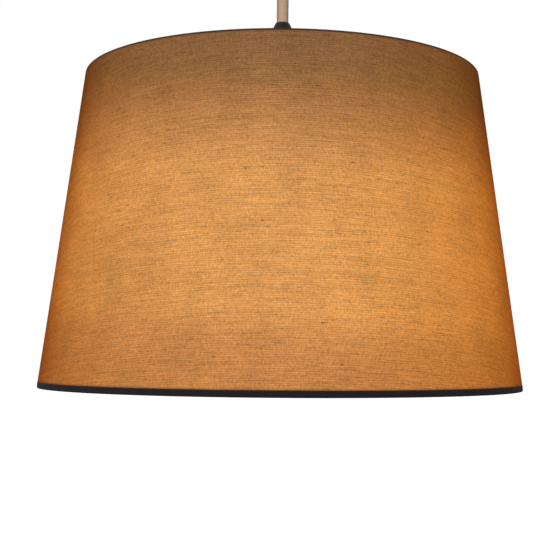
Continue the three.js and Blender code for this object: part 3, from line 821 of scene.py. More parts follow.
@dataclass(frozen=True)
class Board:
    """A printed board: lacquer over faint tracks, and rows of solder pads."""

    name: str
    slot: str
    lacquer: Colour
    track: Colour
    pad: Colour = (0.62, 0.6, 0.55)
    pitch: float = 4.2 * MM
    pad_radius: float = 0.14
    track_from: Point = (0.36, 0.42)
    softness: float = 0.02
    track_share: float = 0.5
    track_height: float = 0.4
    clouds: float = 300.0
    tone: float = 0.94
    clouded: float = 0.12
    roughness: float = 0.36
    handled: float = 0.14
    depth: float = 0.03 * MM

    def material(self) -> bpy.types.Material:
        """Builds the finish.

        Returns:
            Its material.
        """
        paint = Paint(self.name)
        place = paint.place()
        x, y, z = paint.split(place)
        rows = [
            ((side / self.pitch).maths("FRACT") - 0.5).maths("ABSOLUTE") for side in (x, z + y)
        ]
        off = (rows[0] * rows[0] + rows[1] * rows[1]).maths("SQRT")
        pad = 1.0 - off.smooth(self.pad_radius, self.pad_radius + 2 * self.softness)
        tracks = [row.smooth(at, at + self.softness) for row, at in zip(rows, self.track_from)]
        lines = (tracks[0] + tracks[1]).maths("MINIMUM", 1.0)
        cloud = paint.noise(place, self.clouds, detail=3.0)
        base = paint.mixed(pad, paint.mixed(lines * self.track_share, self.lacquer, self.track), self.pad)
        return paint.shaded(
            Base_Color=paint.scaled(base, self.tone + cloud * self.clouded),
            Metallic=pad,
            Roughness=self.roughness + cloud * self.handled,
            Normal=paint.bump(pad + lines * self.track_height, self.depth, strength=0.6),
        )


Finish = Moulded | Metal | Coated | Sleeve | Linen | RolledLinen | Film | Opal | Board

STEEL = Metal("zinc_steel_finish", "steel", (0.56, 0.57, 0.58), 0.34, (130.0, 1700.0, 1700.0))
SCREW_STEEL = Metal("screw_steel_finish", "steel", (0.60, 0.61, 0.62), 0.27)
BRASS = Metal("brass_finish", "brass", (0.72, 0.50, 0.18), 0.28, tarnish=(0.34, 0.22, 0.09))
NICKEL = Metal("nickel_cap_finish", "nickel", (0.64, 0.63, 0.60), 0.24, (140.0, 140.0, 2200.0))
SOLDER = Metal("solder_finish", "solder", (0.52, 0.52, 0.50), 0.36, (700.0, 700.0, 700.0))
CANOPY_COAT = Coated("black_coat_finish", "black_metal", (0.014, 0.0138, 0.0145), 0.46)
WIRE_COAT = Coated("white_wire_finish", "white_wire", (0.74, 0.735, 0.71), 0.38)
BLACK_PLASTIC = Moulded("black_plastic_finish", "black_plastic", (0.0135, 0.0132, 0.0135), 0.5, 0.3)
WHITE_PLASTIC = Moulded("white_plastic_finish", "white_plastic", (0.76, 0.75, 0.71), mottle=0.05)
CERAMIC = Moulded("ceramic_finish", "ceramic", (0.80, 0.78, 0.73), 0.2, 0.6, 900.0, mottle=0.07)
BLACK_GLASS = Moulded("black_glass_finish", "black_glass", (0.012, 0.012, 0.014), 0.12, 0.6, 700.0)
BROWN_CORE = Moulded("brown_core_finish", "brown_core", (0.105, 0.036, 0.014), 0.44)
BLUE_CORE = Moulded("blue_core_finish", "blue_core", (0.028, 0.115, 0.39), 0.44)
EARTH_CORE = Moulded("earth_core_finish", "earth_core", (0.16, 0.35, 0.04), 0.44)
SHEATH = Sleeve()
# Painted shade: both tapes are coloured dark where no lamp light passes, near-black at the hem and dark
# brown at the rim.
TRIM = RolledLinen()
RIM_TRIM = RolledLinen("shaded_rim_finish", colour=(0.075, 0.038, 0.021))
LIGHT_BOARD = Board("light_board_finish", "board", (0.74, 0.76, 0.74), (0.66, 0.68, 0.66))
DRIVER_BOARD = Board("driver_board_finish", "circuit", (0.03, 0.14, 0.06), (0.05, 0.21, 0.09))

_made: dict[str, bpy.types.Material] = {}


def finished(finish: Finish) -> bpy.types.Material:
    """A finish's material, built the first time that it is asked for.

    Args:
        finish: The finish.

    Returns:
        The one material that all its pieces share.
    """
    if finish.name not in _made:
        _made[finish.name] = finish.material()
    return _made[finish.name]


def wave(phase: float) -> float:
    """A smooth wave that rises from 0 to 1 and falls again in one turn."""
    return (1 - math.cos(phase)) / 2


def run_out(height: float, low: float, high: float, length: float) -> float:
    """How much of a relief is left at a height, as it runs out over a length at both its ends."""
    return max(0.0, min(1.0, (high - height) / length, (height - low) / length))


def rounded(outline: Sequence[Point], radius: float, steps: int = 3, ring: bool = True) -> list[Point]:
    """An outline with its corners rounded.

    Args:
        outline: The corners, as radius and height.
        radius: How far from a corner its rounding starts; short sides take less.
        steps: How many pieces a rounding has.
        ring: Whether the outline closes on itself. If not, its two ends stay as they are.

    Returns:
        The outline's new points.
    """
    corners = [Vector(p) for p in outline]
    made: list[Point] = []
    for n, corner in enumerate(corners):
        if not ring and n in (0, len(corners) - 1):
            made.append(tuple(corner))
            continue
        starts = []
        for other in (corners[n - 1], corners[(n + 1) % len(corners)]):
            side = other - corner
            taken = min(radius, side.length * MOST_OF_SIDE) / max(side.length, NO_LENGTH)
            starts.append(corner + side * taken)
        for t in (step / steps for step in range(steps + 1)):
            point = starts[0] * (1 - t) ** 2 + corner * (2 * t * (1 - t)) + starts[1] * t**2
            made.append(tuple(point))
    return made


def finer(outline: Sequence[Sequence[float]], step: float, ring: bool = True) -> list[tuple[float, ...]]:
    """An outline or path with points added, so that no side is longer than a step.

    Args:
        outline: Its points.
        step: The longest side.
        ring: Whether it closes on itself.

    Returns:
        All its points.
    """
    made: list[tuple[float, ...]] = []
    count = len(outline)
    for n in range(count if ring else count - 1):
        start, end = Vector(outline[n]), Vector(outline[(n + 1) % count])
        parts = max(1, math.ceil((end - start).length / step))
        made += [tuple(start.lerp(end, k / parts)) for k in range(parts)]
    return made if ring else [*made, tuple(outline[-1])]


def arc(centre: Point, radius: float, start: float, end: float, steps: int) -> list[Point]:
    """Points on an arc of the outline, with its angles in degrees from +X of the outline."""
    turns = [math.radians(start + (end - start) * k / steps) for k in range(steps + 1)]
    return [(centre[0] + radius * math.cos(t), centre[1] + radius * math.sin(t)) for t in turns]


def linked(name: str, data: bpy.types.ID) -> bpy.types.Object:
    """A new object that holds some data, in the scene.

    Args:
        name: The object's name.
        data: What it holds.

    Returns:
        The object.
    """
    made = bpy.data.objects.new(name, data)
    bpy.context.scene.collection.objects.link(made)
    return made


def meshed(name: str, points: Sequence[Place], faces: Sequence[Sequence[int]]) -> bpy.types.Object:
    """A new object of points and faces, smooth but for its sharp edges.

    Args:
        name: The piece's name.
        points: Where its vertices are.
        faces: Which of them each face joins.

    Returns:
        The object, linked to the scene.
    """
    mesh = bpy.data.meshes.new(name)
    mesh.from_pydata(points, [], faces)
    shell = bmesh.new()
    shell.from_mesh(mesh)
    bmesh.ops.recalc_face_normals(shell, faces=shell.faces)
    shell.to_mesh(mesh)
    shell.free()
    softened(mesh)
    return linked(name, mesh)


def softened(mesh: bpy.types.Mesh, degrees: float = 40.0) -> None:
    """Shades a mesh smooth, apart from edges sharper than an angle."""
    mesh.shade_smooth()
    mesh.set_sharp_from_angle(angle=math.radians(degrees))


def joined(rings: Sequence[Sequence[int]]) -> list[list[int]]:
    """The faces between each ring of vertices and the next.

    Args:
        rings: The numbers of each ring's vertices. One that repeats stands for a point on the axis.

    Returns:
        The faces, with triangles round such a point.
    """
    faces = []
    for low, high in zip(rings, rings[1:]):
        for k in range(len(low)):
            n = (k + 1) % len(low)
            corners = list(dict.fromkeys((low[k], low[n], high[n], high[k])))
            if len(corners) > 2:
                faces.append(corners)
    return faces


def turned(
    name: str, outline: Sequence[Point], sides: int = 96, relief: Relief | None = None
) -> bpy.types.Object:
    """A body of revolution about Z.

    Args:
        name: The piece's name.
        outline: Radius and height of each ring. An outline that starts on the axis ends on it too, and
            any other closes on itself.
        sides: How many sides it has.
        relief: What to add to the radius, from the angle, the radius and the height.

    Returns:
        The closed body.
    """
    points: list[Place] = []
    rings: list[list[int]] = []
    for radius, height in outline:
        if radius <= 0:
            rings.append([len(points)] * sides)
            points.append((0.0, 0.0, height))
            continue
        rings.append(list(range(len(points), len(points) + sides)))
        for angle in (math.tau * k / sides for k in range(sides)):
            reach = radius + (relief(angle, radius, height) if relief else 0.0)
            points.append((reach * math.cos(angle), reach * math.sin(angle), height))
    on_axis = outline[0][0] <= 0
    return meshed(name, points, joined(rings if on_axis else [*rings, rings[0]]))


@dataclass(frozen=True)
class Thread:
    """The relief of a rolled right-hand thread, cut into a wall between two levels and two radii.

    Its pitch is the rise of one turn. It runs out over one turn at both ends.
    """

    pitch: float
    depth: float
    high: float
    low: float
    least: float
    most: float = math.inf

    def __call__(self, angle: float, radius: float, height: float) -> float:
        """What it adds to the radius at one point."""
        deep = self.depth * run_out(height, self.low, self.high, self.pitch)
        return -deep * wave(math.tau * height / self.pitch - angle) * (self.least <= radius <= self.most)


def swept(
    name: str,
    path: Sequence[Place],
    radius: float,
    sides: int = 20,
    swell: Callable[[float], float] | None = None,
    relief: Callable[[float, float], float] | None = None,
) -> bpy.types.Object:
    """A round bar along a path, with its ends closed and slightly rounded.

    Args:
        name: The piece's name.
        path: The points that its centre follows.
        radius: Its radius.
        sides: How many sides it has.
        swell: A factor on the radius, from the share of the path's length.
        relief: What to add to the radius, from the angle and the share of the length.

    Returns:
        The closed bar.
    """
    line = [Vector(p) for p in path]
    steps = [(b - a).length for a, b in zip(line, line[1:])]
    blunt = radius * END_ROUNDING
    line.insert(1, line[0].lerp(line[1], blunt / steps[0]))
    line.insert(-1, line[-1].lerp(line[-2], blunt / steps[-1]))
    aside = (line[1] - line[0]).orthogonal().normalized()
    points: list[Place] = []
    gone = 0.0
    for n, centre in enumerate(line):
        gone += (centre - line[n - 1]).length if n else 0.0
        ahead = (line[min(n + 1, len(line) - 1)] - line[max(n - 1, 0)]).normalized()
        aside = (aside - ahead * aside.dot(ahead)).normalized()
        over = ahead.cross(aside)
        share = gone / sum(steps)
        reach = radius * (swell(share) if swell else 1.0)
        if n in (0, len(line) - 1):
            reach -= blunt
        for angle in (math.tau * k / sides for k in range(sides)):
            wide = reach + (relief(angle, share) if relief else 0.0)
            points.append(tuple(centre + (aside * math.cos(angle) + over * math.sin(angle)) * wide))
    rings = [list(range(n * sides, (n + 1) * sides)) for n in range(len(line))]
    return meshed(name, points, [rings[0][::-1], rings[-1], *joined(rings)])


def block(name: str, low: Place, high: Place) -> bpy.types.Object:
    """A plain block, used as a cutting tool.

    Args:
        name: Its name.
        low: Its lowest corner.
        high: Its highest corner.

    Returns:
        The block.
    """
    points = [(x, y, z) for x in (low[0], high[0]) for y in (low[1], high[1]) for z in (low[2], high[2])]
    faces = [(0, 1, 3, 2), (4, 6, 7, 5), (0, 4, 5, 1), (2, 3, 7, 6), (0, 2, 6, 4), (1, 5, 7, 3)]
    return meshed(name, points, faces)


def rod(name: str, radius: float, ends: Point, level: float, about: str, sides: int) -> bpy.types.Object:
    """A level round rod across the axis, used as a cutting tool.

    Args:
        name: Its name.
        radius: Its radius.
        ends: Where it starts and where it ends.
        level: Its height.
        about: The axis that it is tipped about: Y lays it along +X, and X lays it along -Y.
        sides: How many sides it has.

    Returns:
        The rod.
    """
    start, end = ends
    made = turned(name, [(0, start), (radius, start), (radius, end), (0, end)], sides)
    made.data.transform(Matrix.Translation((0, 0, level)) @ Matrix.Rotation(math.pi / 2, 4, about))
    return made


def section(node: str, bore: float) -> list[Point]:
    """The square section of a plain ring, from a bore out to the box of a node."""
    low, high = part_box(node)
    return [(bore, low.z), (high.x, low.z), (high.x, high.z), (bore, high.z)]


def carved(piece: bpy.types.Object, *tools: bpy.types.Object) -> bpy.types.Object:
    """Takes tools out of a piece, and deletes them.

    Args:
        piece: What is cut.
        tools: What is taken out of it.

    Returns:
        The piece, with its new mesh.
    """
    for tool in tools:
        step = piece.modifiers.new("cut", "BOOLEAN")
        step.solver = "EXACT"
        step.object = tool
    bpy.context.view_layer.update()
    mesh = bpy.data.meshes.new_from_object(piece.evaluated_get(bpy.context.evaluated_depsgraph_get()))
    piece.modifiers.clear()
    piece.data = mesh
    for tool in tools:
        bpy.data.objects.remove(tool)
    softened(mesh)
    return piece


def dressed(piece: bpy.types.Object, body: Body, finish: Finish, *nodes: str) -> bpy.types.Object:
    """Gives a new piece its finish, its body and the nodes that it stands for.

    Args:
        piece: The piece, in place.
        body: What it moves with.
        finish: Its finish.
        nodes: The nodes that it replaces.

    Returns:
        The piece.
    """
    piece.data.materials.clear()
    piece.data.materials.append(finished(finish))
    if nodes:
        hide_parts(*nodes)
    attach(piece, body.value)
    LOG.info("%s: %d faces on %s", piece.name, len(piece.data.polygons), body.value)
    return piece


def kept(nodes: dict[str, bpy.types.Object], *rows: tuple[str, Finish, float]) -> None:
    """Keeps frame nodes in sight, each with eased edges and a finish.

    Args:
        nodes: The frame's nodes.
        rows: Each node's name and finish, and how wide its eased edges are; 0 rounds the whole node.
    """
    for name, finish, edge in rows:
        node = nodes[name]
        weld = node.modifiers.new("weld", "WELD")
        weld.merge_threshold = MM / 100
        if edge:
            ease = node.modifiers.new("ease", "BEVEL")
            ease.width = edge
            ease.segments = 2
            ease.limit_method = "ANGLE"
            ease.angle_limit = math.radians(EASED_FROM)
        else:
            round_off = node.modifiers.new("round", "SUBSURF")
            round_off.levels = round_off.render_levels = 2
        for place in node.material_slots:
            place.material = finished(finish)
        LOG.info("%s: kept from the frame", name)


def flex_stub(name: str, node: str, body: Body, step: float) -> None:
    """A hidden end of the flex, with its sheath cut square.

    Args:
        name: The piece's name.
        node: The node that it replaces, whose box gives its ends.
        body: What it moves with.
        step: The longest stretch between its rings.
    """
    low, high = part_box(node)
    path = finer([(0, 0, high.z), (0, 0, low.z)], step, ring=False)
    dressed(swept(name, path, FLEX_DIAMETER / 2, 40), body, SHEATH, node)


@dataclass
class Studio:
    """The camera at the photograph's place, a white room and soft light."""

    camera_place: Place = (-0.00039, -0.7227, -0.3626)
    camera_pitch: float = 93.434
    camera_turn: float = 0.427
    lens: float = 73.46
    sensor: float = 36.0
    near: float = 10 * MM
    floor_level: float = -2.4
    floor_reach: float = 60.0
    room_colour: Colour = (0.97, 0.985, 1.0)
    room_light: float = 0.55
    key_place: Place = (-0.9, -1.5, 0.75)
    key_aim: Place = (0.0, 0.0, -0.25)
    key_power: float = 14.0
    key_size: float = 1.3

    def build(self) -> None:
        """Sets up the whole studio."""
        self.place_camera()
        self.light_room()
        self.lay_floor()
        self.hang_key()
        bpy.context.scene.view_settings.view_transform = "Standard"

    def place_camera(self) -> None:
        """Puts the camera where the photograph was taken."""
        data = bpy.data.cameras.new("camera")
        data.lens = self.lens
        data.sensor_width = self.sensor
        data.clip_start = self.near
        camera = linked("camera", data)
        pitch = Matrix.Rotation(math.radians(self.camera_pitch), 4, "X")
        turn = Matrix.Rotation(math.radians(self.camera_turn), 4, "Z")
        camera.matrix_world = Matrix.Translation(self.camera_place) @ pitch @ turn
        bpy.context.scene.camera = camera

    def light_room(self) -> None:
        """A room that is white to look at and dimmer as a light."""
        room = Paint("room", world=True)
        seen = room.node("ShaderNodeBackground", {}, {0: opaque(WHITE)})
        cast = room.node("ShaderNodeBackground", {}, {0: opaque(self.room_colour), 1: self.room_light})
        looked_at = room.node("ShaderNodeLightPath", {}, {}).outputs["Is Camera Ray"]
        mix = room.node("ShaderNodeMixShader", {}, {0: looked_at, 1: cast.outputs[0], 2: seen.outputs[0]})
        room.node("ShaderNodeOutputWorld", {}, {0: mix.outputs[0]})
        bpy.context.scene.world = room.owner

    def lay_floor(self) -> None:
        """A plain pale floor, far below the hanging light."""
        square = ((-1, -1), (1, -1), (1, 1), (-1, 1))
        corners = [(x * self.floor_reach, y * self.floor_reach, self.floor_level) for x, y in square]
        floor = meshed("floor", corners, [(0, 1, 2, 3)])
        pale = Paint("pale_floor").shaded(
            Base_Color=opaque((0.0, 0.0, 0.0)), Emission_Color=opaque(WHITE), Emission_Strength=1.0
        )
        floor.data.materials.append(pale)
        floor.visible_diffuse = floor.visible_glossy = False

    def hang_key(self) -> None:
        """A large soft light above the camera's left shoulder."""
        data = bpy.data.lights.new("key", "AREA")
        data.energy = self.key_power
        data.size = self.key_size
        key = linked("key", data)
        key.location = self.key_place
        aim = Vector(self.key_aim) - Vector(self.key_place)
        key.rotation_euler = aim.to_track_quat("-Z", "Y").to_euler()


@dataclass
class FreeFlex:
    """The free stretch of flex, from its outlet at the canopy into the lampholder's cap."""

    diameter: float = FLEX_DIAMETER
    top: float = -72.6 * MM
    bend_start: float = -73.4 * MM
    bend_end: float = -96.2 * MM
    step: float = 1.2 * MM
    sides: int = 48
    unevenness: float = 0.035 * MM
    route: tuple[Place, ...] = (
        (0, 0, -78), (0, 0, -82), (0, 0, -86), (0, 0, -90), (0.05, 0, -95), (0.05, 0, -100),
        (0.1, 0.05, -105), (0.1, 0.05, -110), (0.15, 0.05, -115), (0.15, 0.05, -120),
        (0.15, 0.05, -125), (0.1, 0.05, -130), (0.1, 0.05, -135), (0.05, 0, -140), (0.05, 0, -145),
        (0, 0, -150), (0, 0, -153), (0, 0, -156.3),
    )

    def build(self) -> None:
        """Builds and dresses the flex."""
        start = (0.0, 0.0, self.top)
        path = [start] + [(x * MM, y * MM, z * MM) for x, y, z in self.route]
        line = finer(path, self.step, ring=False)
        flex = swept("free_flex", line, self.diameter / 2, self.sides, relief=self.set_in)
        flex.data.materials.append(finished(SHEATH))
        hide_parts("flex_bend", "flex")
        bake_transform(flex)

    def set_in(self, angle: float, share: float) -> float:
        """A very slight unevenness of the sheath, only inwards, along a share of its length."""
        ripple = math.sin(3 * angle + share * 21) * math.sin(share * 37 + angle)
        return -self.unevenness * (1 + ripple)


@dataclass(frozen=True)
class Screw:
    """A machine screw, built head up at the origin and then set in place.

    The crown and the tip are in shares of the head's radius and height, and of the shank's radius. A cross
    is cut by two tools, whose faces lie a small share of the recess apart.
    """

    head: float
    head_height: float
    shank: float
    recess: Recess
    pitch: float = 0.7 * MM
    crown: tuple[Point, ...] = ((0, 1), (0.55, 1), (0.86, 0.86), (1, 0.5), (1, 0))
    tip: Point = (0.72, 0.3)
    edge: float = 0.16
    thread_depth: float = 0.16
    sides: int = 28
    thread_from: float = 0.9
    recess_half_width: float = 0.13
    recess_depth: float = 0.45
    apart: float = 0.01

    def build(self, name: str, seat: Place, heading: Place, length: float) -> bpy.types.Object:
        """Builds the screw.

        Args:
            name: The piece's name.
            seat: The middle of the head's underside.
            heading: Which way the shank points.
            length: The shank's length.

        Returns:
            The screw, in place.
        """
        top, side, core = self.head_height, self.head / 2, self.shank / 2
        tip, chamfer = core * self.tip[0], core * self.tip[1]
        outline = [(side * r, top * z) for r, z in self.crown]
        outline += [(core, 0.0), (core, chamfer - length), (tip, -length), (0, -length)]
        fine = finer(rounded(outline, top * self.edge, 2, ring=False), self.pitch / 4, ring=False)
        depth, least = core * self.thread_depth, core * self.thread_from
        cut = Thread(self.pitch, depth, -self.pitch / 2, -length, least, core * WALL_TO)
        made = turned(name, fine, self.sides, cut)
        wide, deep = side * self.recess_half_width, top * self.recess_depth
        long = side * self.recess.value
        tools = [block("slot_tool", (-long, -wide, top - deep), (long, wide, top * 2))]
        if self.recess is Recess.CROSS:
            deep *= 1 + self.apart
            upper = top * (2 + self.apart)
            tools.append(block("cross_tool", (-wide, -long, top - deep), (wide, long, upper)))
        carved(made, *tools)
        turn = Vector((0.0, 0.0, -1.0)).rotation_difference(Vector(heading)).to_matrix().to_4x4()
        made.data.transform(Matrix.Translation(seat) @ turn)
        made.data.update()
        return made

    def fit(self, node: str, heading: Place, body: Body, finish: Finish, name: str = "") -> None:
        """Builds the screw in the place of a node, whose box gives its axis and its length.

        Args:
            node: The node that it replaces.
            heading: Which way the shank points, along X, Y or Z.
            body: What it moves with.
            finish: Its finish.
            name: The piece's name, if not the node's with a word added.
        """
        low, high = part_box(node)
        axis = [abs(part) for part in heading].index(1)
        start, end = (low[axis], high[axis]) if heading[axis] > 0 else (high[axis], low[axis])
        seat = (low + high) / 2
        seat[axis] = start + heading[axis] * self.head_height
        made = self.build(name or f"{node}_body", tuple(seat), heading, abs(end - seat[axis]))
        dressed(made, body, finish, node)


@dataclass
class Canopy:
    """The cup at the ceiling, its outlet and what holds them."""

    wall: float = 1.2 * MM
    shoulder: float = 20.0 * MM
    neck_hole: float = 6.3 * MM
    slot_half: float = 2.3 * MM
    grip_bore: float = 4.1 * MM
    grip_neck: float = 6.0 * MM
    grip_flange: float = 11.0 * MM
    flange_thickness: float = 2.2 * MM
    grip_body: float = 9.0 * MM
    grip_mouth: float = 7.4 * MM
    flare: float = 2.1 * MM
    flare_length: float = 5.0 * MM
    step_pitch: float = 2.4 * MM
    step_depth: float = 0.18 * MM
    step_start: float = 4.0 * MM
    lip: float = 1.5 * MM
    neck_pitch: float = 1.0 * MM
    neck_thread: float = 0.35 * MM
    grub_hole: float = 1.8 * MM
    nut_flats: int = 12
    nut_hollow: float = 0.45 * MM
    side_screw: Screw = Screw(9 * MM, 4 * MM, 4 * MM, Recess.SLOT)
    grub: Screw = Screw(3 * MM, 0.9 * MM, 2.9 * MM, Recess.SLOT, 0.5 * MM)

    def build(self) -> None:
        """Builds all the pieces of the canopy."""
        self.cup()
        self.side_screw.fit("canopy_screw_1", (-1, 0, 0), Body.BRACKET, SCREW_STEEL)
        self.side_screw.fit("canopy_screw_2", (1, 0, 0), Body.BRACKET, SCREW_STEEL)
        self.outlet()
        self.nut()

    def cup(self) -> None:
        """The rounded cup, open above, with a slot for each side screw."""
        low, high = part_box("canopy_cup")
        radius = high.x
        bend = (radius - self.shoulder, low.z + self.shoulder)
        outline = [
            (self.neck_hole, low.z), *arc(bend, self.shoulder, -90, 0, 16), (radius, high.z),
            (radius - self.wall, high.z), *arc(bend, self.shoulder - self.wall, 0, -90, 16),
            (self.neck_hole, low.z + self.wall),
        ]
        cup = turned("canopy_shell", rounded(outline, 0.3 * MM, 2), 160)
        level = sum(corner.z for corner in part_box("canopy_screw_1")) / 2
        tools = []
        for side in (-1, 1):
            near, far = sorted((side * radius * 0.8, side * radius * 1.2))
            tools.append(block("slot_tool", (near, -self.slot_half, level), (far, self.slot_half, 10 * MM)))
            tools.append(rod("slot_end_tool", self.slot_half, (far, near), level, "Y", 24))
        dressed(carved(cup, *tools), Body.BRACKET, CANOPY_COAT, "canopy_cup")

    def outlet(self) -> None:
        """The tapered outlet with its bell mouth and side screw."""
        low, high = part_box("cord_grip")
        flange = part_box("canopy_cup")[0].z - CLEARANCE
        under = flange - self.flange_thickness
        bell = [
            (self.grip_bore + self.flare * (1 - math.sqrt(1 - t * t)), low.z + self.flare_length * (1 - t))
            for t in (k / 10 for k in range(11))
        ]
        outline = [
            (self.grip_bore, high.z), *bell, (self.grip_mouth, low.z), (self.grip_body, under),
            (self.grip_flange, under), (self.grip_flange, flange), (self.grip_neck, flange),
            (self.grip_neck, high.z),
        ]
        neck = self.grip_neck
        cut = Thread(self.neck_pitch, self.neck_thread, high.z, flange + self.lip, neck * WALL_FROM)

        def relief(angle: float, radius: float, height: float) -> float:
            """The neck's thread, and shallow steps round the tapered body."""
            stepped = radius > neck * WALL_TO and low.z + self.lip < height < under - self.step_start
            return cut(angle, radius, height) - stepped * self.step(height)

        fine = finer(rounded(outline, 0.45 * MM, 3), 0.3 * MM)
        level = sum(corner.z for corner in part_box("grip_screw")) / 2
        hole = rod("hole_tool", self.grub_hole, (0, 20 * MM), level, "X", 28)
        grip = carved(turned("cord_outlet", fine, 64, relief), hole)
        dressed(grip, Body.BRACKET, BLACK_PLASTIC, "cord_grip")
        self.grub.fit("grip_screw", (0, 1, 0), Body.BRACKET, SCREW_STEEL, "outlet_screw")

    def step(self, height: float) -> float:
        """How deep the outlet's steps are at a height."""
        return self.step_depth * (1 - wave(math.tau * height / self.step_pitch)) ** 3

    def nut(self) -> None:
        """The round nut inside the cup, with its grip flats."""
        bore = self.grip_neck + CLEARANCE

        def flats(angle: float, radius: float, height: float) -> float:
            """Shallow hollows round the rim."""
            return -self.nut_hollow * wave(self.nut_flats * angle) if radius > bore * 1.2 else 0.0

        nut = turned("outlet_nut", rounded(section("grip_nut", bore), 0.5 * MM), 96, flats)
        dressed(nut, Body.BRACKET, SCREW_STEEL, "grip_nut")


@dataclass
class CeilingWiring:
    """The bracket, terminals and clamp that the canopy hides."""

    nodes: dict[str, bpy.types.Object]

    def build(self) -> None:
        """Dresses the kept nodes and builds the screws and the flex's end."""
        kept(
            self.nodes, ("ceiling_bracket", STEEL, 0.25 * MM), ("terminal_block", WHITE_PLASTIC, 0.5 * MM),
            ("cord_saddle", WHITE_PLASTIC, 0.5 * MM), ("earth_tag", BRASS, 0.12 * MM),
            ("live_core_top", BROWN_CORE, 0), ("neutral_core_top", BLUE_CORE, 0),
            ("earth_lead", EARTH_CORE, 0),
        )
        self.upright_screws()
        clamp = Screw(5.4 * MM, 2 * MM, 3 * MM, Recess.CROSS, 0.5 * MM)
        clamp.fit("saddle_screw_1", (0, 1, 0), Body.BRACKET, SCREW_STEEL)
        clamp.fit("saddle_screw_2", (0, 1, 0), Body.BRACKET, SCREW_STEEL)
        flex_stub("sheathed_flex", "flex_inside", Body.BRACKET, 4 * MM)

    def upright_screws(self) -> None:
        """The screws that stand along Z, with their heads below."""
        for name, finish, recess, height, shank in (
            ("earth_screw", BRASS, Recess.CROSS, 2.5, 4.0),
            ("block_screw", SCREW_STEEL, Recess.CROSS, 1.8, 3.0),
            ("terminal_screw_1", BRASS, Recess.SLOT, 1.0, 2.6),
            ("terminal_screw_2", BRASS, Recess.SLOT, 1.0, 2.6),
            ("terminal_screw_3", BRASS, Recess.SLOT, 1.0, 2.6),
        ):
            low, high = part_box(name)
            form = Screw(high.x - low.x, height * MM, shank * MM, recess, 0.5 * MM)
            form.fit(name, (0, 0, 1), Body.BRACKET, finish)


@dataclass
class LampHolder:
    """The cap, its wiring, the contacts and the threaded skirt."""

    nodes: dict[str, bpy.types.Object]
    cap_bore: float = 4.1 * MM
    cap_lip: float = 4.5 * MM
    cap_cone: float = 17.5 * MM
    cap_cone_height: float = 27.0 * MM
    cap_shoulder: float = 1.2 * MM
    cap_wall: float = 2.0 * MM
    parting_height: float = 2.2 * MM
    parting_half: float = 0.45 * MM
    parting_depth: float = 0.25 * MM
    neck: float = 16.5 * MM
    collar: float = 3.0 * MM
    skirt_outer: float = 19.8 * MM
    skirt_bore: float = 14.3 * MM
    skirt_mouth: float = 17.5 * MM
    mouth_depth: float = 7.0 * MM
    skirt_pitch: float = 3.0 * MM
    skirt_thread: float = 0.6 * MM
    shell_bore: float = 13.6 * MM
    terminal_screw: Screw = Screw(3.4 * MM, 1 * MM, 2.6 * MM, Recess.SLOT, 0.4 * MM)

    def build(self) -> None:
        """Builds all the pieces of the lampholder."""
        self.cap()
        self.skirt()
        shell = turned("rolled_shell", finer(section("screw_shell", self.shell_bore), 0.5 * MM), 80)
        dressed(shell, Body.HOLDER, BRASS, "screw_shell")
        flex_stub("flex_tail", "flex_end", Body.HOLDER, 3 * MM)
        kept(
            self.nodes, ("contact_insert", CERAMIC, 0.5 * MM), ("grip_collar", WHITE_PLASTIC, 0.4 * MM),
            ("holder_terminal_1", BRASS, 0.25 * MM), ("holder_terminal_2", BRASS, 0.25 * MM),
            ("centre_contact", BRASS, 0.08 * MM), ("side_contact", BRASS, 0.08 * MM),
            ("live_core_bottom", BROWN_CORE, 0), ("neutral_core_bottom", BLUE_CORE, 0),
        )
        self.terminal_screw.fit("holder_screw_1", (0, 0, -1), Body.HOLDER, SCREW_STEEL)
        self.terminal_screw.fit("holder_screw_2", (0, 0, -1), Body.HOLDER, SCREW_STEEL)

    def cap(self) -> None:
        """The conical cap, with a fine parting line round its foot."""
        low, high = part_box("holder_cap")
        cone = high.z - self.cap_cone_height
        shoulder = cone - self.cap_shoulder
        slope = (self.cap_cone - self.cap_lip) / self.cap_cone_height
        inner = high.z - (self.cap_bore + self.cap_wall - self.cap_lip) / slope
        bore = self.neck + CLEARANCE
        outline = [
            (self.cap_bore, high.z), (self.cap_lip, high.z), (self.cap_cone, cone), (high.x, shoulder),
            (high.x, low.z), (bore, low.z), (bore, shoulder - self.cap_shoulder),
            (self.cap_cone - self.cap_wall, cone), (self.cap_bore, inner),
        ]

        def parting(angle: float, radius: float, height: float) -> float:
            """A fine groove near the foot."""
            near = abs(height - low.z - self.parting_height) / self.parting_half
            return -self.parting_depth * max(0.0, 1 - near) if radius > self.cap_cone else 0.0

        fine = finer(rounded(outline, 0.4 * MM, 3), 0.8 * MM)
        dressed(turned("lampholder_cap", fine, 96, parting), Body.HOLDER, BLACK_PLASTIC, "holder_cap")

    def skirt(self) -> None:
        """The neck, the collar and the threaded skirt in one moulding."""
        low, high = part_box("holder_skirt")
        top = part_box("holder_cap")[0].z - CLEARANCE
        under = top - self.collar
        outer, step = self.skirt_outer, low.z + self.mouth_depth
        outline = [
            (self.skirt_bore, high.z), (self.skirt_bore, step), (self.skirt_mouth, step),
            (self.skirt_mouth, low.z), (outer, low.z), (outer, under), (high.x, under), (high.x, top),
            (self.neck, top), (self.neck, high.z),
        ]
        wall = (outer * WALL_FROM, outer * WALL_TO)
        cut = Thread(self.skirt_pitch, self.skirt_thread, under - MM, low.z, *wall)
        fine = finer(rounded(outline, 0.4 * MM, 2), 0.45 * MM)
        dressed(turned("threaded_skirt", fine, 112, cut), Body.HOLDER, BLACK_PLASTIC, "holder_skirt")


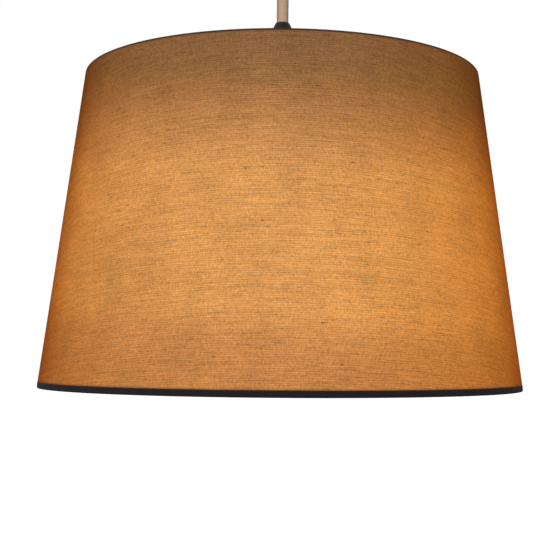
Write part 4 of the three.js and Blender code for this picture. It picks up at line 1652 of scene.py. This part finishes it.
@dataclass
class ShadeRing:
    """The ribbed ring that screws up under the shade."""

    ribs: int = 24
    rib_depth: float = 0.8 * MM
    bore: float = 20.2 * MM

    def build(self) -> None:
        """Builds the ring."""
        low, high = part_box("shade_ring")

        def ribbed(angle: float, radius: float, height: float) -> float:
            """Hollows between the grip ribs, run out at the edges."""
            deep = self.rib_depth * run_out(height, low.z, high.z, MM) * (radius > high.x * WALL_FROM)
            return -deep * wave(self.ribs * angle) ** 0.6

        outline = finer(rounded(section("shade_ring", self.bore), 0.9 * MM, 4), 0.6 * MM)
        ring = turned("shade_clamp_ring", outline, 240, ribbed)
        dressed(ring, Body.RING, BLACK_PLASTIC, "shade_ring")


@dataclass
class Shade:
    """The drum: its cloth, liner, seam and trims on a wire frame."""

    rim_radius: float = 124.0 * MM
    foot_radius: float = 150.0 * MM
    wire: float = 1.4 * MM
    inset: float = 2.5 * MM
    weld_reach: float = 2.2 * MM
    weld_swell: float = 0.22
    fitter_bore: float = 20.7 * MM
    cloth: float = 0.7 * MM
    cloth_wave: float = 0.05 * MM
    film: float = 0.4 * MM
    film_wave: float = 0.03 * MM
    tape: float = 0.8 * MM
    lap: float = 0.15 * MM
    proud: float = 0.15 * MM
    rim_fold: float = 4.2 * MM
    hem_outside: float = 3.4 * MM
    hem_inside: float = 6.0 * MM
    rim_gather: float = 0.03 * MM
    hem_gather: float = 0.06 * MM
    seam_width: float = 9.0 * MM
    seam_under: float = 0.28 * MM
    seam_edge: float = 0.3 * MM
    seam_crown: float = 0.5 * MM
    seam_light: float = 0.8
    sides: int = 288

    def __post_init__(self) -> None:
        """Reads the shade's levels from the frame."""
        self.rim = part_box("top_trim")[1].z
        self.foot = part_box("bottom_trim")[0].z
        self.slope = (self.foot_radius - self.rim_radius) / (self.rim - self.foot)
        self.weave = ConeWeave(self.rim, self.rim_radius, self.slope)

    def radius(self, level: float) -> float:
        """The cone's outer radius at a level."""
        return self.rim_radius + (self.rim - level) * self.slope

    def at(self, depth: float, level: float) -> Point:
        """A point of an outline that lies so deep inside the cone at a level."""
        return self.radius(level) - depth, level

    def build(self) -> None:
        """Builds all the pieces of the shade."""
        for name, node, level in (
            ("top_wire", "top_wire_ring", self.rim - self.inset),
            ("bottom_wire", "bottom_wire_ring", self.foot + self.inset),
        ):
            ring = turned(name, arc(self.at(self.inset, level), self.wire, 0, 337.5, 15), self.sides)
            dressed(ring, Body.SHADE, WIRE_COAT, node)
        plate = turned("fitter_plate", rounded(section("fitter_ring", self.fitter_bore), 0.5 * MM, 4), 128)
        dressed(plate, Body.SHADE, WIRE_COAT, "fitter_ring")
        self.arms()
        self.cover()
        self.liner()

    def wall(self, name: str, levels: Point, depths: Point, swing: float) -> bpy.types.Object:
        """A thin wall on the cone.

        Args:
            name: The piece's name.
            levels: Its lower and upper level.
            depths: How far its outer and its inner face lie inside the cone.
            swing: The height of its slight unevenness.

        Returns:
            The wall.
        """
        (low, high), (outer, inner) = levels, depths
        outline = [self.at(outer, high), self.at(outer, low), self.at(inner, low), self.at(inner, high)]

        def uneven(angle: float, radius: float, height: float) -> float:
            """The waves at one point, which die out at both edges."""
            share = (height - low) / (high - low)
            return swing * self.ripple(angle, share) * math.sin(math.pi * share)

        return turned(name, finer(outline, 9 * MM), self.sides, uneven)

    def ripple(self, angle: float, share: float) -> float:
        """Long shallow waves round a wall, only inwards, at a share of its height."""
        return math.sin(5 * angle + 1.3) + 0.6 * math.sin(11 * angle + 4 * share) - 1.6

    def arms(self) -> None:
        """The three wire arms, with a small weld at each end."""
        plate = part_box("fitter_ring")
        start = (plate[1].x + CLEARANCE, (plate[0].z + plate[1].z) / 2)
        end = self.at(self.inset + self.wire + CLEARANCE, self.rim - self.inset)

        def weld(share: float) -> float:
            """The arm's thickness, swollen by the weld at each end."""
            near = min(share, 1 - share) * (end[0] - start[0]) / self.weld_reach
            return 1.0 + self.weld_swell * max(0.0, 1 - near) ** 0.5

        for index, degrees in enumerate((90, 210, 330), start=1):
            aside, out = math.sin(math.radians(degrees)), math.cos(math.radians(degrees))
            path = [(r * out, r * aside, z) for r, z in finer([start, end], 1.5 * MM, ring=False)]
            arm = swept(f"wire_arm_{index}", path, self.wire * 0.96, swell=weld)
            dressed(arm, Body.SHADE, WIRE_COAT, f"spider_arm_{index}")

    def cover(self) -> None:
        """The linen, stretched over the frame, and its lapped seam at the back."""
        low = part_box("fabric_cover")[0].z
        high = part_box("top_trim")[0].z
        finish = Linen(self.weave, low, high)
        cover = self.wall("linen_cover", (low, high), (0.0, self.cloth), self.cloth_wave)
        dressed(cover, Body.SHADE, finish, "fabric_cover")
        seam = self.seam(*(corner.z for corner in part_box("side_seam")))
        doubled = replace(finish, name="linen_seam_finish", power=self.seam_light)
        dressed(seam, Body.SHADE, doubled, "side_seam")
        self.declare([seam, *self.trims()], low, high)

    def seam(self, low: float, high: float) -> bpy.types.Object:
        """The strip of cloth that laps over the joint at the back.

        Args:
            low: Its lower level.
            high: Its upper level.

        Returns:
            The strip, crowned across and turned under at both edges.
        """
        across = [k / 12 for k in range(-12, 13)]
        profile = [(t, self.seam_edge + self.seam_crown * (1 - abs(t) ** 6)) for t in across]
        profile += [(t, self.seam_under) for t in reversed(across)]
        rows, count = 24, len(profile)
        points: list[Place] = []
        for level in (high + (low - high) * n / rows for n in range(rows + 1)):
            for t, proud in profile:
                angle = math.pi / 2 + t * self.seam_width / 2 / self.radius(level)
                reach = self.radius(level) + proud
                points.append((reach * math.cos(angle), reach * math.sin(angle), level))
        rings = [list(range(n * count, (n + 1) * count)) for n in range(rows + 1)]
        return meshed("lapped_seam", points, [rings[0][::-1], rings[-1], *joined(rings)])

    def declare(
        self, sewn: list[bpy.types.Object], low: float, high: float
    ) -> None:
        """Says what sheet of cloth the cover was cut from.

        Args:
            sewn: Its seam and tapes, the pieces on it. Not used.
            low: The cover's lower level.
            high: Its upper level.
        """
        sine = self.slope / math.hypot(1.0, self.slope)
        inner, outer = self.radius(high) / sine, self.radius(low) / sine
        half = math.pi * sine
        width = 2 * outer * math.sin(half)
        length = outer - inner * math.cos(half)
        area = half * (outer**2 - inner**2)
        LOG.info("cloth cut %.0f by %.0f mm, %.4f square metres", width / MM, length / MM, area)

    def liner(self) -> None:
        """The clear film that backs the cloth."""
        low, high = (corner.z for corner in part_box("shade_liner"))
        out = self.cloth + CLEARANCE
        film = self.wall("liner_film", (low, high), (out, out + self.film), self.film_wave)
        dressed(film, Body.SHADE, Film(low, high), "shade_liner")

    def trims(self) -> list[bpy.types.Object]:
        """The tape at both edges, dark as painted shade: a thin line above and a rolled hem below.

        Returns:
            The two tapes.
        """
        tape, high, low = self.tape, self.rim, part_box("top_trim")[0].z
        top = [
            self.at(0, low), self.at(0, high), self.at(self.rim_fold, high),
            (self.rim_radius - self.rim_fold, high - tape), (self.rim_radius - tape, high - tape),
            self.at(tape, low),
        ]
        outline = finer(rounded(top, 0.35 * MM, 3), 0.7 * MM)
        ring = turned("rim_tape", outline, self.sides, self.gathers(self.rim_gather))
        dressed(ring, Body.SHADE, RIM_TRIM, "top_trim")
        outside, inside = self.foot + self.hem_outside, self.foot + self.hem_inside
        lapped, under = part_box("fabric_cover")[0].z + self.lap, self.proud * 0.2
        inner, fold = self.inset + self.wire + CLEARANCE, self.foot + tape
        hem = [
            self.at(depth, level) for depth, level in (
                (-self.proud, lapped), (-under, lapped), (-under, outside), (tape, outside),
                (tape, fold), (inner, fold), (inner, inside), (inner + tape, inside),
                (inner + tape, self.foot), (0, self.foot),
            )
        ]
        outline = finer(rounded(hem, 0.8 * MM, 4), 0.6 * MM)
        roll = turned("rolled_hem", outline, self.sides, self.gathers(self.hem_gather))
        # Painted light: the hem tape's glow lies just below the lapped level.
        dressed(roll, Body.SHADE, replace(TRIM, edge=lapped), "bottom_trim")
        return [ring, roll]

    def gathers(self, depth: float) -> Relief:
        """The small puckers of tape that was rolled and glued, only inwards.

        Args:
            depth: How deep they are.

        Returns:
            The relief.
        """

        def pucker(angle: float, radius: float, height: float) -> float:
            """The pucker at one point."""
            fine = math.sin(61 * angle) + 0.7 * math.sin(97 * angle + 2)
            return depth * ((fine + 0.5 * math.sin(23 * angle + height * 900)) / 2.2 - 1)

        return pucker


@dataclass
class Lamp:
    """The lamp: its screw cap, housing, boards and lit globe."""

    nodes: dict[str, bpy.types.Object]
    cap_pitch: float = 3.63 * MM
    cap_wall: float = 0.5 * MM
    cap_taper: float = 1.2 * MM
    glass_top: float = 5.5 * MM
    spigot: float = 12.4 * MM
    housing_neck: float = 13.6 * MM
    housing_foot: float = 29.0 * MM
    housing_height: float = 44.0 * MM
    housing_wall: float = 1.4 * MM
    housing_rings: int = 44
    fins: int = 36
    fin_depth: float = 0.5 * MM
    fin_run: float = 6.0 * MM
    globe_wall: float = 1.2 * MM
    light_power: float = 0.7
    light_colour: Colour = (1.0, 0.72, 0.42)
    light_share: float = 0.7

    def build(self) -> None:
        """Builds all the pieces of the lamp, and its light."""
        self.screw_cap()
        self.housing()
        self.globe()
        kept(self.nodes, ("light_board", LIGHT_BOARD, 0.3 * MM), ("driver_board", DRIVER_BOARD, 0.2 * MM))

    def screw_cap(self) -> None:
        """The threaded cap, its glass insulator and the contact at its tip."""
        low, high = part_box("lamp_cap")
        outer, inner, shoulder = high.x, high.x - self.cap_wall, high.z - self.cap_taper
        outline = [
            (outer - self.cap_taper, high.z), (outer, shoulder), (outer, low.z), (inner, low.z),
            (inner, shoulder), (inner - self.cap_taper, high.z),
        ]
        least = outer - self.cap_wall / 2
        rolled = Thread(self.cap_pitch, self.cap_wall * 0.8, shoulder, low.z + self.cap_pitch / 2, least)
        cap = turned("threaded_cap", finer(outline, 0.35 * MM), 96, rolled)
        dressed(cap, Body.LAMP, NICKEL, "lamp_cap")
        low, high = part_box("cap_insulator")
        glass = [(0, low.z), (high.x, low.z), (self.glass_top, high.z), (0, high.z)]
        glass = turned("glass_insulator", rounded(glass, 0.7 * MM, 4, ring=False), 64)
        dressed(glass, Body.LAMP, BLACK_GLASS, "cap_insulator")
        low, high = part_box("tip_contact")
        bow = [(high.x * r, low.z + (high.z - low.z) * z) for r, z in arc((0, 0), 1.0, 0, 81, 9)]
        dressed(turned("solder_tip", [(0, low.z), *bow, (0, high.z)], 48), Body.LAMP, SOLDER, "tip_contact")

    def housing_radius(self, level: float, top: float) -> float:
        """The housing's outer radius at a level below its top."""
        share = (top - level) / self.housing_height
        return self.housing_neck + (self.housing_foot - self.housing_neck) * wave(share * math.pi)

    def housing(self) -> None:
        """The white housing, with its spigot up inside the cap and fine cooling fins."""
        low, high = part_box("lamp_housing")
        top, bore = low.z + self.housing_height, self.spigot - self.housing_wall
        levels = [top - self.housing_height * k / self.housing_rings for k in range(self.housing_rings + 1)]
        outline = [(self.spigot, high.z), (self.spigot, top)]
        outline += [(self.housing_radius(z, top), z) for z in levels]
        outline += [(self.housing_radius(z, top) - self.housing_wall, z) for z in reversed(levels[2:])]
        outline += [(bore, top - self.housing_wall), (bore, high.z)]

        def flutes(angle: float, radius: float, height: float) -> float:
            """Shallow flutes between the fins, down the outside.

            Args:
                angle: The angle around the housing, in radians.
                radius: The distance from its axis.
                height: The height of the point.

            Returns:
                The step out from the plain housing, below nought in a flute.
            """
            outside = radius > self.housing_radius(height, top) - self.housing_wall / 2
            deep = self.fin_depth * run_out(height, low.z, top, self.fin_run) * outside
            return -deep * wave(self.fins * angle) ** 2

        body = turned("finned_housing", outline, 288, flutes)
        dressed(body, Body.LAMP, WHITE_PLASTIC, "lamp_housing")

    def globe(self) -> None:
        """The opal globe, and the warm light that it gives."""
        low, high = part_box("lamp_globe")
        outer, inner = high.x, high.x - self.globe_wall
        centre = low.z + outer
        starts = [math.degrees(math.asin((high.z - centre) / reach)) for reach in (outer, inner)]
        outline = arc((0, centre), outer, -90, starts[0], 40) + arc((0, centre), inner, starts[1], -90, 40)
        outline[0], outline[-1] = (0.0, outline[0][1]), (0.0, outline[-1][1])
        globe = turned("opal_globe", outline, 128)
        globe.visible_shadow = False
        dressed(globe, Body.LAMP, Opal(low.z, high.z), "lamp_globe")
        data = bpy.data.lights.new("lamp_light", "POINT")
        data.energy = self.light_power
        data.color = self.light_colour
        data.shadow_soft_size = outer * self.light_share
        light = linked("lamp_light", data)
        light.location = (0.0, 0.0, centre)
        light.parent = globe
        light.matrix_parent_inverse = globe.matrix_world.inverted()


def main() -> None:
    """Builds the studio and every sub-assembly in order."""
    logging.basicConfig(level=logging.INFO, format="%(message)s")
    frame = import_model()
    nodes = frame["nodes"]
    Studio().build()
    FreeFlex().build()
    CeilingWiring(nodes).build()
    Canopy().build()
    LampHolder(nodes).build()
    ShadeRing().build()
    Shade().build()
    Lamp(nodes).build()


if __name__ == "__main__":
    main()
